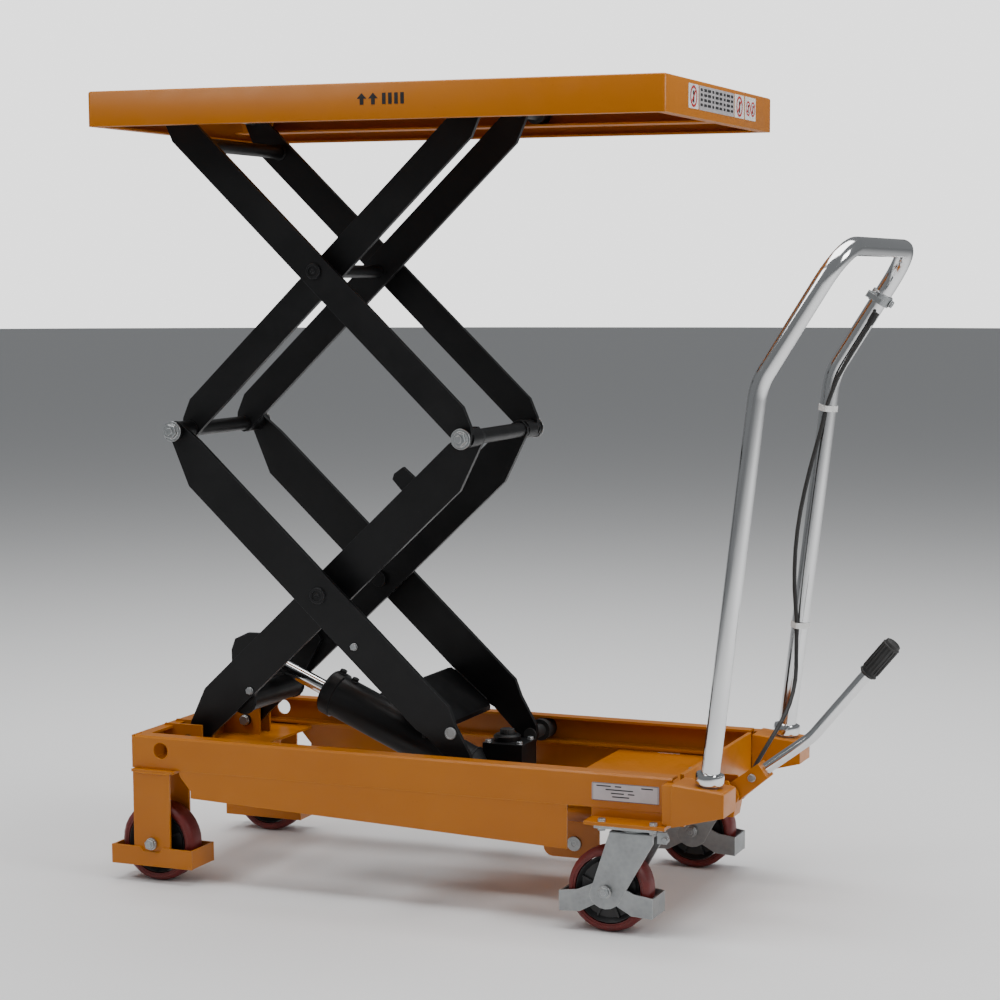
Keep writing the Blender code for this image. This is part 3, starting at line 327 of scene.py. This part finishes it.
# ---- Mesh pieces ----------------------------------------------------------------------
class Piece:
    """One visible piece, built up from turned, swept and folded shapes, that rides on a CAD body."""

    def __init__(self, name, body, finish):
        self.name, self.body, self.finish = name, body, finish
        self.bm = bmesh.new()

    def turn(self, profile, centre, axis, steps=32, ring=False):
        """Turns (radius, height) points about an axis. A ring's profile is closed."""
        axis = Vector(axis).normalized()
        side = axis.orthogonal().normalized()
        other = axis.cross(side)
        rows = []
        for radius, height in profile:
            count = 1 if radius == 0 else steps
            row = []
            for i in range(count):
                angle = 2 * math.pi * i / steps
                out = side * math.cos(angle) + other * math.sin(angle)
                row.append(self.bm.verts.new(centre + axis * height + out * radius))
            rows.append(row)
        pairs = list(zip(rows, rows[1:])) + ([(rows[-1], rows[0])] if ring else [])
        for low, high in pairs:
            for i in range(steps):
                j = (i + 1) % steps
                corners = [low[i % len(low)], low[j % len(low)], high[j % len(high)], high[i % len(high)]]
                self.bm.faces.new(list(dict.fromkeys(corners)))
        return self

    def sweep(self, path, radius, sides=12, ripple=0.0):
        """A round bar along a path. A ripple swells and narrows it, as a weld bead does."""
        heading = (path[1] - path[0]).normalized()
        side = heading.orthogonal().normalized()
        rings = []
        for i, point in enumerate(path):
            ahead = (path[min(i + 1, len(path) - 1)] - path[max(i - 1, 0)]).normalized()
            side = heading.rotation_difference(ahead) @ side
            heading = ahead
            other = heading.cross(side)
            size = radius * (1 + ripple * math.sin(i * 2.1))
            if ripple and i in (0, len(path) - 1):
                size *= 0.45
            rings.append([self.bm.verts.new(point + (side * math.cos(a) + other * math.sin(a)) * size)
                          for a in (2 * math.pi * k / sides for k in range(sides))])
        for low, high in zip(rings, rings[1:]):
            for k in range(sides):
                j = (k + 1) % sides
                self.bm.faces.new((low[k], low[j], high[j], high[k]))
        self.bm.faces.new(rings[0][::-1])
        self.bm.faces.new(rings[-1])
        return self

    def weld(self, start, end, radius=0.0022):
        """A weld bead from start to end."""
        count = max(6, int((end - start).length / 0.0024))
        return self.sweep([start.lerp(end, i / count) for i in range(count + 1)], radius, 8, 0.16)

    def plate(self, outline, centre, across, up, thickness, bevel=0.0):
        """A flat plate: outline points across and up from centre, thickness along their normal."""
        across, up = Vector(across).normalized(), Vector(up).normalized()
        normal = across.cross(up)
        inset = [(a * (1 - bevel), b * (1 - bevel)) for a, b in outline] if bevel else outline
        rows = [[self.bm.verts.new(centre + across * a + up * b + normal * h) for a, b in points]
                for points, h in ((outline, 0.0), (outline, thickness * 0.7), (inset, thickness))]
        self.bm.faces.new(rows[0][::-1])
        self.bm.faces.new(rows[-1])
        for low, high in zip(rows, rows[1:]):
            for i in range(len(low)):
                self.bm.faces.new((low[i - 1], low[i], high[i], high[i - 1]))
        return self

    def strap(self, circles, axis_x, axis_y, centre, width, thickness):
        """A flat strap pulled round two circles (across, up, radius), as wide as width."""
        (ax, ay, ar), (bx, by, br) = circles
        turn = math.atan2(by - ay, bx - ax)
        open_angle = math.acos((ar - br) / math.hypot(bx - ax, by - ay))
        axis_x, axis_y = Vector(axis_x), Vector(axis_y)
        along = axis_x.cross(axis_y).normalized()
        rows = []
        for grow in (0.0, thickness):
            points = []
            for cx, cy, r, start, end in ((ax, ay, ar, open_angle, 2 * math.pi - open_angle),
                                          (bx, by, br, -open_angle, open_angle)):
                for i in range(17):
                    angle = turn + start + (end - start) * i / 16
                    points.append((cx + (r + grow) * math.cos(angle), cy + (r + grow) * math.sin(angle)))
            for h in (-width / 2, width / 2):
                rows.append([self.bm.verts.new(centre + axis_x * a + axis_y * b + along * h)
                             for a, b in points])
        order = [rows[0], rows[1], rows[3], rows[2]]
        for low, high in zip(order, order[1:] + order[:1]):
            for i in range(len(low)):
                self.bm.faces.new((low[i - 1], low[i], high[i], high[i - 1]))
        return self

    def done(self, slot=None):
        bmesh.ops.recalc_face_normals(self.bm, faces=self.bm.faces)
        mesh = bpy.data.meshes.new(self.name)
        self.bm.to_mesh(mesh)
        self.bm.free()
        material = FINISH.get(self.finish) or LABEL[self.finish]
        mesh.materials.append(material)
        obj = bpy.data.objects.new(self.name, mesh)
        bpy.context.scene.collection.objects.link(obj)
        smooth(obj)
        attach(obj, self.body)
        return obj


def hex_head(piece, centre, axis, radius, height, stud=0.0, stud_radius=0.0):
    """A washer-faced hexagon with chamfered corners, and the end of its stud if it is a nut."""
    axis = Vector(axis).normalized()
    flat = radius * math.cos(math.pi / 6)
    piece.turn([(0, 0), (flat * 1.16, 0), (flat * 1.16, height * 0.16), (0, height * 0.16)], centre, axis, 32)
    piece.turn([(0, height * 0.12), (radius, height * 0.12), (radius, height * 0.86), (radius * 0.90, height),
                (0, height)], centre, axis, 6)
    if stud:
        rings = [(0, height * 0.9)]
        for i in range(int(stud / 0.001)):
            rings += [(stud_radius, height + i * 0.001), (stud_radius * 0.88, height + i * 0.001 + 0.0005)]
        piece.turn(rings + [(0, rings[-1][1])], centre, axis, 20)
    return piece


def round_outline(half_a, half_b, radius, steps=4):
    points = []
    for quarter, (sa, sb) in enumerate(((1, 1), (-1, 1), (-1, -1), (1, -1))):
        for i in range(steps + 1):
            angle = math.pi / 2 * (quarter + i / steps)
            points.append((sa * (half_a - radius) + radius * math.cos(angle),
                           sb * (half_b - radius) + radius * math.sin(angle)))
    return points


def disc(radius, steps=28, centre=(0.0, 0.0)):
    return [(centre[0] + radius * math.cos(2 * math.pi * i / steps),
             centre[1] + radius * math.sin(2 * math.pi * i / steps)) for i in range(steps)]


# ---- Scissor hardware -----------------------------------------------------------------
def middle_joints():
    """Zinc washer and lock nut on each end of the two middle shafts."""
    for label, side in SIDES:
        for place, x, body in (("left", LEFT_X, "lower_outer"), ("right", RIGHT_X, "lower_inner")):
            nut = Piece(f"{label}_{place}_middle_nut", body, "zinc")
            face = at(x, side * (SHAFT_END + 0.0001), MID_Z)
            axis = (0, side, 0)
            nut.turn([(0, 0), (0.0152, 0), (0.0158, 0.0006), (0.0152, 0.0016), (0, 0.0016)], face, axis, 40)
            hex_head(nut, face + Vector(axis) * 0.0014, axis, 0.0118, 0.0072, 0.003, 0.0058)
            nut.done()


def crossing_pins():
    """Snap ring and centre drilling on the ends of the crossing pins, and bolts in the foot pins."""
    for label, side in SIDES:
        for place, z, body, reach, radius in (
            ("lower", (LOW_Z + MID_Z) / 2, "lower_outer", PIN_END, 0.0116),
            ("upper", (MID_Z + TOP_Z) / 2, "upper_outer", PIN_END, 0.0110),
        ):
            ring = Piece(f"{label}_{place}_crossing_ring", body, "black_paint")
            face = at(CENTRE_X, side * reach, z)
            ring.turn([(radius - 0.003, 0), (radius, 0), (radius + 0.0006, 0.0006), (radius, 0.0012),
                       (radius - 0.003, 0.0012)], face, (0, side, 0), 32, ring=True)
            ring.turn([(0, 0), (0.0040, 0), (0.0034, 0.0010), (0.0014, 0.0004), (0, 0.0002)],
                      face, (0, side, 0), 20)
            ring.done()
        foot = Piece(f"{label}_foot_pin_bolt", "lower_inner", "zinc")
        hex_head(foot, at(LEFT_X, side * 0.0684, LOW_Z), (0, -side, 0), 0.0086, 0.0050)
        foot.done()


def arm_bolts():
    """The lock discs and small bolts on the lower arms."""
    face = ARM_FACE + 0.0001
    for label, side in SIDES:
        pin = Piece(f"{label}_arm_lock_disc", "lower_outer", "zinc")
        centre = at(0.079, side * face, 0.256)
        pin.turn([(0, 0), (0.0094, 0), (0.0094, 0.0022), (0.0086, 0.0030), (0.0070, 0.0030), (0.0066, 0.0022),
                  (0, 0.0022)], centre, (0, side, 0), 32)
        pin.done()
        small = Piece(f"{label}_arm_small_bolt", "lower_outer", "zinc")
        hex_head(small, at(-0.0810, side * face, 0.378), (0, side, 0), 0.0058, 0.0040)
        small.done()
        lug = Piece(f"{label}_lug_bolt", "lower_inner", "black_paint")
        hex_head(lug, at(-0.311, side * 0.0743, 0.352), (0, -side, 0), 0.0070, 0.0045)
        lug.done()
        guard = Piece(f"{label}_arm_guide_bolt", "lower_inner", "zinc")
        hex_head(guard, at(-0.286, side * 0.0912, 0.290), (0, side, 0), 0.0060, 0.0040)
        guard.done()


def arm_welds():
    """Beads where tubes and plates meet the arms."""
    for label, side in SIDES:
        for name, body, x, z, radius, y in (
            ("lift_tube", "lower_inner", -0.302, 0.272, 0.0204, 0.0815),
            ("tie_tube", "upper_outer", -0.3364, 1.1368, 0.0109, 0.1255),
        ):
            bead = Piece(f"{label}_{name}_weld", body, "black_paint")
            centre = at(x, side * y, z)
            path = [centre + Vector((math.cos(a), 0, math.sin(a))) * radius
                    for a in (2 * math.pi * i / 60 for i in range(61))]
            bead.sweep(path, 0.0018, 8, 0.16).done()
        plate = Piece(f"{label}_cross_plate_weld", "lower_outer", "black_paint")
        start, end = at(-0.385, 0, 0.699), at(0.102, 0, 0.208)
        heading = (end - start).normalized()
        up = Vector((-heading.z, 0, heading.x))
        ends = [start + heading * s + up * off + Vector((0, side * 0.1250, 0))
                for s, off in ((0.530, -0.0240), (0.602, -0.0168))]
        plate.weld(*ends, 0.0018).done()


def roller_caps():
    """Pressed cap and snap ring on each roller's outer end."""
    for label, side in SIDES:
        for place, x, z, y, body in (("lower", RIGHT_X, LOW_Z, 0.1966, f"lower_roller_{label}"),
                                     ("upper", RIGHT_X, TOP_Z, 0.1781, f"upper_roller_{label}")):
            cap = Piece(f"{label}_{place}_roller_cap", body, "steel")
            cap.turn([(0, 0), (0.0100, 0), (0.0100, 0.0006), (0.0078, 0.0010), (0.0074, 0.0005), (0, 0.0005)],
                     at(x, side * y, z), (0, side, 0), 28)
            cap.done()


# ---- Wheels ---------------------------------------------------------------------------
def wheels():
    """Mould lines on the treads, bearing shields, axle nuts, and hub ribs."""
    face = TREAD_HALF - 0.0006
    for label, side in SIDES:
        for kind, x, y, body, carrier, leg in (
            ("fixed", FIXED_X, side * FIXED_Y, f"fixed_wheel_{label}", "base", 0.0317),
            ("caster", CASTER_X, side * CASTER_Y, f"caster_wheel_{label}", f"caster_{label}", 0.0275),
        ):
            centre = at(x, y, AXLE_Z)
            lines = Piece(f"{label}_{kind}_mould_lines", body, "red_tread")
            shield = Piece(f"{label}_{kind}_bearing_shields", body, "steel")
            ribs = Piece(f"{label}_{kind}_hub_ribs", body, "black_hub")
            nuts = Piece(f"{label}_{kind}_axle_nuts", carrier, "zinc")
            for end in (-1, 1):
                axis = (0, end, 0)
                lines.turn([(0.0530, face), (0.0536, face + 0.0008), (0.0552, face + 0.0008), (0.0557, face)],
                           centre, axis, 48, ring=True)
                shield.turn([(0.0086, 0.0206), (0.0165, 0.0206), (0.0165, 0.0216), (0.0130, 0.0220),
                             (0.0120, 0.0214), (0.0086, 0.0214)], centre, axis, 32, ring=True)
                for i in range(HUB_RIBS):
                    angle = 2 * math.pi * (i + 0.5) / HUB_RIBS
                    out = Vector((math.cos(angle), 0, math.sin(angle)))
                    over = Vector((-math.sin(angle), 0, math.cos(angle)))
                    middle = centre + out * 0.0320 + Vector((0, end * 0.0118, 0))
                    across = out if end < 0 else -out
                    ribs.plate(round_outline(0.0110, 0.0014, 0.0006, 2), middle, across, over, 0.0042, 0.05)
                nut_face = centre + Vector((0, end * (leg + 0.0041), 0))
                hex_head(nuts, nut_face, axis, 0.0088, 0.0056, 0.002, 0.0042)
            for piece in (lines, shield, ribs, nuts):
                piece.done()


def caster_hardware():
    """Plate bolts with nuts below, the swivel's ball race and king nut, and the brake latch."""
    for label, side in SIDES:
        y = side * CASTER_Y
        bolts = Piece(f"{label}_caster_plate_bolts", "base", "zinc")
        for x in (0.3550, 0.4330):
            for dy in (-0.0295, 0.0295):
                hex_head(bolts, at(x, y + dy, 0.1656), (0, 0, 1), 0.0062, 0.0042)
                hex_head(bolts, at(x, y + dy, 0.1566), (0, 0, -1), 0.0062, 0.0040)
        bolts.done()
        race = Piece(f"{label}_caster_race_ring", f"caster_{label}", "zinc")
        race.turn([(0.0220, 0), (0.0265, 0), (0.0275, 0.0012), (0.0265, 0.0034), (0.0220, 0.0040)],
                  at(SWIVEL_X, y, 0.1508), (0, 0, 1), 40, ring=True)
        hex_head(race, at(SWIVEL_X, y, 0.1464), (0, 0, -1), 0.0105, 0.0068, 0.002, 0.0055)
        race.done()
        latch = Piece(f"{label}_caster_latch", "base", "zinc")
        latch.plate([(-0.008, -0.010), (0.006, -0.010), (0.009, 0.002), (0.006, 0.008), (-0.008, 0.008)],
                    at(0.4475, y + side * 0.0300, 0.1500), (1, 0, 0), (0, 0, 1), 0.0022, 0.06)
        latch.turn([(0, -0.007), (0.0042, -0.007), (0.0050, -0.0055), (0.0050, 0.0055), (0.0042, 0.007),
                    (0, 0.007)],
                   at(0.4510, y + side * 0.0300, 0.1460), (0, 1, 0), 20)
        latch.done()


# ---- Base frame -----------------------------------------------------------------------
def frame_details():
    """Deck bolt, foot pins, seam beads at the frame's corners."""
    deck = Piece("deck_bolt", "base", "zinc")
    hex_head(deck, at(0.395, 0.066, 0.1836), (0, 0, 1), 0.0070, 0.0046)
    deck.done()
    for label, side in SIDES:
        pin = Piece(f"{label}_foot_pin", "base", "zinc")
        pin.turn([(0, -0.0060), (0.0080, -0.0060), (0.0080, 0.0002), (0.0110, 0.0002), (0.0114, 0.0010),
                  (0.0108, 0.0030), (0.0040, 0.0034), (0.0034, 0.0026), (0, 0.0026)],
                 at(0.265, side * 0.1016, 0.096), (0, side, 0), 32)
        pin.done()
        bead = Piece(f"{label}_frame_welds", "base", "yellow_paint")
        bead.weld(at(-0.4286, side * 0.2005, 0.2302), at(-0.4286, side * 0.1800, 0.2302), 0.0012)
        bead.weld(at(0.4515, side * 0.1990, 0.1960), at(0.4515, side * 0.1990, 0.2250), 0.0016)
        bead.weld(at(-0.4280, side * 0.1150, 0.1840), at(-0.3620, side * 0.1150, 0.1840), 0.0018)
        bead.weld(at(0.0720, side * 0.0472, 0.1405), at(0.1060, side * 0.0472, 0.1405), 0.0016)
        bead.weld(at(FIXED_X - 0.030, side * (FIXED_Y + 0.0325), 0.1738),
                  at(FIXED_X + 0.030, side * (FIXED_Y + 0.0325), 0.1738), 0.0014)
        bead.done()


FACING_FRONT, FACING_END = ((1, 0, 0), (0, 0, 1)), ((0, 1, 0), (0, 0, 1))
PLATE_CENTRE = (0.382, 0.203)
INK, PLATE_INK = 0.0002, 0.00015


def labels():
    """A data plate with bars for its lines, warning tiles on the platform's end, a mark on its side."""
    x, z = PLATE_CENTRE
    plate = Piece("data_plate", "base", "plate")
    plate.plate(round_outline(0.051, 0.013, 0.002), at(x, -0.2031, z), *FACING_FRONT, 0.0006).done()
    print_ink = Piece("data_plate_print", "base", "black")
    ink_y = -0.20372
    for bar_z, spans in (
        (0.2115, ((-0.044, -0.022), (-0.016, -0.006), (0.024, 0.042))),
        (0.2065, ((-0.030, 0.012),)),
        (0.2015, ((-0.022, -0.002), (0.004, 0.014))),
        (0.1965, ((-0.020, 0.006),)),
    ):
        for low, high in spans:
            print_ink.plate(round_outline((high - low) / 2, 0.0009, 0.0004, 2),
                            at(x + (low + high) / 2, ink_y, bar_z), *FACING_FRONT, PLATE_INK)
    for line_z in (0.1905, 0.2155):
        print_ink.plate(round_outline(0.0495, 0.0003, 0.0001, 1), at(x, ink_y, line_z),
                        *FACING_FRONT, PLATE_INK)
    for line_x in (0.3325, 0.4315):
        print_ink.plate(round_outline(0.0003, 0.0125, 0.0001, 1), at(line_x, ink_y, z),
                        *FACING_FRONT, PLATE_INK)
    print_ink.done()

    end_x, middle_z = 0.4551, 1.1870
    tiles = Piece("platform_warning_tiles", "platform", "white")
    for low, high in ((-0.156, -0.112), (0.060, 0.107), (0.112, 0.167)):
        tiles.plate(round_outline((high - low) / 2, 0.0170, 0.002), at(end_x, (low + high) / 2, middle_z),
                    *FACING_END, 0.0003)
    tiles.done()
    block = Piece("platform_warning_block", "platform", "grey")
    block.plate(round_outline(0.082, 0.0170, 0.002), at(end_x, -0.026, middle_z), *FACING_END, 0.0003).done()
    rings = Piece("platform_warning_rings", "platform", "red")
    figures = Piece("platform_warning_figures", "platform", "black")
    slash = Vector((0, 0.7, 0.7))
    for y, radius in ((-0.134, 0.0150), (0.0835, 0.0150), (0.1280, 0.0110), (0.1520, 0.0110)):
        face = at(end_x + 0.00045, y, middle_z)
        rings.turn([(radius * 0.78, 0), (radius, 0), (radius, INK), (radius * 0.78, INK)],
                   face, (1, 0, 0), 36, ring=True)
        rings.plate(round_outline(radius * 0.80, radius * 0.10, 0.0003, 2), face, slash, (0, -0.7, 0.7), INK)
        figures.plate(disc(radius * 0.24, 20, (0, radius * 0.30)), face - Vector((0.0001, 0, 0)),
                      *FACING_END, INK)
        figures.plate(round_outline(radius * 0.20, radius * 0.34, radius * 0.1, 3),
                      face - Vector((0.0001, 0, radius * 0.28)), *FACING_END, INK)
    rings.done()
    for z in (0.0115, 0.0045, -0.0025, -0.0095):
        for i in range(9):
            width = 0.0060 + 0.0018 * math.sin(i * 2.3 + z * 900)
            figures.plate(round_outline(width, 0.0019, 0.0005, 2),
                          at(end_x + 0.0004, -0.098 + i * 0.018, middle_z + z), *FACING_END, INK)
    figures.done()

    mark = Piece("platform_side_mark", "platform", "black")
    face_y, low_x = -0.25312, -0.0100
    arrow = [(-0.0030, -0.0080), (0.0030, -0.0080), (0.0030, 0.0005), (0.0075, 0.0005), (0.0, 0.0085),
             (-0.0075, 0.0005), (-0.0030, 0.0005)]
    for i in range(2):
        mark.plate(arrow, at(low_x + 0.009 + i * 0.018, face_y, middle_z), *FACING_FRONT, INK)
    for i in range(4):
        mark.plate(round_outline(0.0028, 0.0080, 0.0006, 2), at(low_x + 0.044 + i * 0.0095, face_y, middle_z),
                   *FACING_FRONT, INK)
    mark.done()


# ---- Handle, lever and cable ----------------------------------------------------------
def leg_point(z, side=1):
    return at(HANDLE_FOOT[0] + (z - HANDLE_FOOT[1]) * math.tan(HANDLE_LEAN), side * HANDLE_Y, z)


def handle_details():
    """Welded collars on the sockets, and the two clips that hold the release cable to the far leg."""
    leg = Vector((math.sin(HANDLE_LEAN), 0, math.cos(HANDLE_LEAN)))
    for label, side in SIDES:
        collar = Piece(f"{label}_handle_collar", "base", "chrome")
        collar.turn([(0.0139, 0), (0.0205, 0), (0.0207, 0.0010), (0.0207, 0.0120), (0.0198, 0.0145),
                     (0.0170, 0.0155), (0.0150, 0.0155), (0.0139, 0.0145)],
                    leg_point(0.2260, side), leg, 40, ring=True)
        collar.done()
    across = leg.cross(Vector((0, 1, 0))).normalized()
    for name, z, x in (("upper", 0.737, 0.568), ("lower", 0.400, 0.5257)):
        clip = Piece(f"cable_clip_{name}", "base", "white")
        centre = leg_point(z)
        offset = at(x, 0.1790, z) - centre
        circles = ((0.0, 0.0, 0.0137), (offset.dot(across), offset.y, 0.0036))
        clip.strap(circles, across, Vector((0, 1, 0)), centre, 0.0090, 0.0011)
        clip.done("black_rubber")


def lever_details():
    """Clamp screw, lever rivet and the cable's adjuster."""
    x, z = LEVER_PLACE
    outward = Vector((0.8526, 0, -0.5225))
    screw = Piece("lever_clamp_screw", "base", "zinc")
    hex_head(screw, at(x, HANDLE_Y, z) + outward * 0.0172, outward, 0.0062, 0.0046)
    screw.done()
    rivet = Piece("lever_rivet", "lever", "steel")
    rivet.turn([(0, 0), (0.0046, 0), (0.0042, 0.0012), (0.0024, 0.0020), (0, 0.0022)],
               at(x, 0.1705, z) - outward * 0.0058, -outward, 24)
    rivet.done()
    adjuster = Piece("cable_adjuster", "base", "black_rubber")
    top, below = at(0.6440, 0.1790, 0.8830), at(0.6310, 0.1792, 0.8600)
    down = (below - top).normalized()
    adjuster.turn([(0.0036, 0), (0.0056, 0.0004), (0.0060, 0.0020), (0.0052, 0.0040), (0.0052, 0.0120),
                   (0.0044, 0.0200), (0.0036, 0.0210)], top, down, 24, ring=True)
    adjuster.done()
    ferrule = Piece("cable_ferrule", "base", "steel")
    ferrule.turn([(0.0035, 0), (0.0062, 0), (0.0062, 0.0070), (0.0050, 0.0080), (0.0050, 0.0160),
                  (0.0040, 0.0175), (0.0035, 0.0175)], at(0.1506, 0.0190, 0.1400), (1, 0, 0), 24, ring=True)
    ferrule.done()


GRIP_RIBS = 16


def pedal_details():
    """Lengthwise ribs and a domed end on the pedal's rubber grip."""
    start, tip = at(0.601, 0, 0.263), at(0.7205, 0, 0.4085)
    along = (tip - start).normalized()
    side = Vector((0, 1, 0))
    other = along.cross(side)
    ribs = Piece("pedal_grip_ribs", "pedal", "black_rubber")
    for i in range(GRIP_RIBS):
        angle = 2 * math.pi * i / GRIP_RIBS
        out = side * math.cos(angle) + other * math.sin(angle)
        over = along.cross(out)
        ribs.plate(round_outline(0.0240, 0.0011, 0.0008, 3), tip - along * 0.0290 + out * 0.0125,
                   over.cross(out), over, 0.0013, 0.12)
    for back in (0.0035, 0.0560):
        ribs.turn([(0.0126, 0), (0.0140, 0.0006), (0.0140, 0.0022), (0.0126, 0.0028)],
                  tip - along * back, -along, 32, ring=True)
    ribs.turn([(0, 0.0040), (0.0050, 0.0036), (0.0088, 0.0026), (0.0108, 0.0012), (0.0112, 0.0004),
               (0, 0.0004)], tip, along, 32)
    ribs.done()
    bolt = Piece("pedal_arm_bolt", "pedal", "zinc")
    for end in (-1, 1):
        hex_head(bolt, at(0.5140, end * 0.0166, 0.1980), (0, end, 0), 0.0060, 0.0044)
    bolt.done()


# ---- Hydraulics -----------------------------------------------------------------------
CAP_TEETH = 36


def hydraulic_details():
    """Rod wiper, two plugs on the collar, base weld, pump bolts, filler cap and valve."""
    pin = at(CYLINDER_PIN[0], 0, CYLINDER_PIN[1])
    along = (at(ROD_PIN[0], 0, ROD_PIN[1]) - pin).normalized()
    up = Vector((0, 1, 0)).cross(along)
    up = up if up.z > 0 else -up
    wiper = Piece("rod_wiper", "cylinder", "black_rubber")
    wiper.turn([(0.0126, 0), (0.0230, 0), (0.0235, 0.0010), (0.0200, 0.0032), (0.0150, 0.0040),
                (0.0126, 0.0036)],
               pin + along * (BARREL_LENGTH + 0.0002), along, 40, ring=True)
    wiper.done()
    plugs = Piece("cylinder_plugs", "cylinder", "black_paint")
    for back in (0.0120, 0.0360):
        base = pin + along * (BARREL_LENGTH - back) + up * (0.0366 if back < 0.02 else 0.0338)
        hex_head(plugs, base, up, 0.0062, 0.0058)
    plugs.done()
    bead = Piece("cylinder_base_weld", "cylinder", "black_paint")
    side = Vector((0, 1, 0))
    ring = [pin + along * 0.0365 + (side * math.cos(a) + up * math.sin(a)) * 0.0342
            for a in (2 * math.pi * i / 90 for i in range(91))]
    bead.sweep(ring, 0.0017, 8, 0.16).done()
    pump = Piece("pump_bolts", "base", "zinc")
    for x, y in ((0.0570, 0.0590), (0.1105, 0.0590), (0.0570, 0.1050), (0.1105, 0.1050)):
        hex_head(pump, at(x, y, 0.2051), (0, 0, 1), 0.0052, 0.0040)
    for y in (0.0450, 0.0900):
        hex_head(pump, at(0.1360, y, 0.1581), (0, 0, 1), 0.0056, 0.0042)
    pump.done()
    cap = Piece("pump_filler_cap", "base", "black_rubber")
    rings = []
    for i in range(CAP_TEETH):
        angle = 2 * math.pi * i / CAP_TEETH
        radius = 0.0118 if i % 2 else 0.0110
        rings.append((radius * math.cos(angle), radius * math.sin(angle)))
    cap.plate(rings, at(0.080, 0.082, 0.2166), (1, 0, 0), (0, 1, 0), 0.0075, 0.06).done()
    valve = Piece("pump_valve", "base", "steel")
    hex_head(valve, at(0.1501, 0.0700, 0.1420), (1, 0, 0), 0.0084, 0.0070, 0.004, 0.0045)
    valve.done()


# ---- Light and camera -----------------------------------------------------------------
SKY_LIGHT, SKY_SEEN = 0.22, 2.6


def stage():
    """Pale floor, three soft boxes, and a sky that is brighter to the camera than to the object."""
    world = bpy.data.worlds.new("studio")
    bpy.context.scene.world = world
    world.use_nodes = True
    tree = world.node_tree
    dim, bright = tree.nodes["Background"], tree.nodes.new("ShaderNodeBackground")
    dim.inputs["Color"].default_value = (0.94, 0.97, 1.0, 1.0)
    dim.inputs["Strength"].default_value = SKY_LIGHT
    bright.inputs["Strength"].default_value = SKY_SEEN
    rays, mix = tree.nodes.new("ShaderNodeLightPath"), tree.nodes.new("ShaderNodeMixShader")
    tree.links.new(rays.outputs["Is Camera Ray"], mix.inputs["Fac"])
    tree.links.new(dim.outputs["Background"], mix.inputs[1])
    tree.links.new(bright.outputs["Background"], mix.inputs[2])
    tree.links.new(mix.outputs["Shader"], tree.nodes["World Output"].inputs["Surface"])
    bm = bmesh.new()
    bmesh.ops.create_circle(bm, cap_ends=True, segments=64, radius=40.0)
    mesh = bpy.data.meshes.new("floor")
    bm.to_mesh(mesh)
    bm.free()
    floor = bpy.data.objects.new("floor", mesh)
    bpy.context.scene.collection.objects.link(floor)
    n = Nodes("floor_white")
    mesh.materials.append(n.done((0.86, 0.86, 0.86), 0.75, Specular_IOR_Level=0.1))
    for name, place, target, size, power in (
        ("key", (-2.4, -2.6, 3.2), (0, 0, 0.6), 1.8, 45.0),
        ("top", (0.0, 0.2, 3.6), (0, 0, 0.3), 3.2, 170.0),
        ("end", (3.4, -0.4, 2.2), (0.3, 0, 0.5), 1.4, 55.0),
    ):
        data = bpy.data.lights.new(name, "AREA")
        data.energy = power
        data.shape = "SQUARE"
        data.size = size
        light = bpy.data.objects.new(name, data)
        light.location = place
        light.rotation_euler = (Vector(target) - Vector(place)).to_track_quat("-Z", "Y").to_euler()
        bpy.context.scene.collection.objects.link(light)


SENSOR_WIDTH = 36.0


def camera():
    """The view from 21 degrees round from the front, looking 6.7 degrees down."""
    azimuth, tilt = math.radians(21.2057), math.radians(-6.7282)
    forward = Vector((-math.sin(azimuth) * math.cos(tilt),
                      math.cos(azimuth) * math.cos(tilt),
                      math.sin(tilt)))
    right = forward.cross(Vector((0, 0, 1))).normalized()
    up = right.cross(forward)
    data = bpy.data.cameras.new("camera")
    data.sensor_width = SENSOR_WIDTH
    data.lens = 2.34357 * SENSOR_WIDTH
    data.shift_x, data.shift_y = -0.06747, 0.05258
    view = bpy.data.objects.new("camera", data)
    view.matrix_world = Matrix((right, up, -forward)).transposed().to_4x4()
    view.location = at(1.4938, -3.2976, 0.9374)
    bpy.context.scene.collection.objects.link(view)
    bpy.context.scene.camera = view


camera()
finish_cad_nodes()
middle_joints()
crossing_pins()
arm_bolts()
arm_welds()
roller_caps()
wheels()
caster_hardware()
frame_details()
labels()
handle_details()
lever_details()
pedal_details()
hydraulic_details()
stage()

bpy.context.view_layer.update()
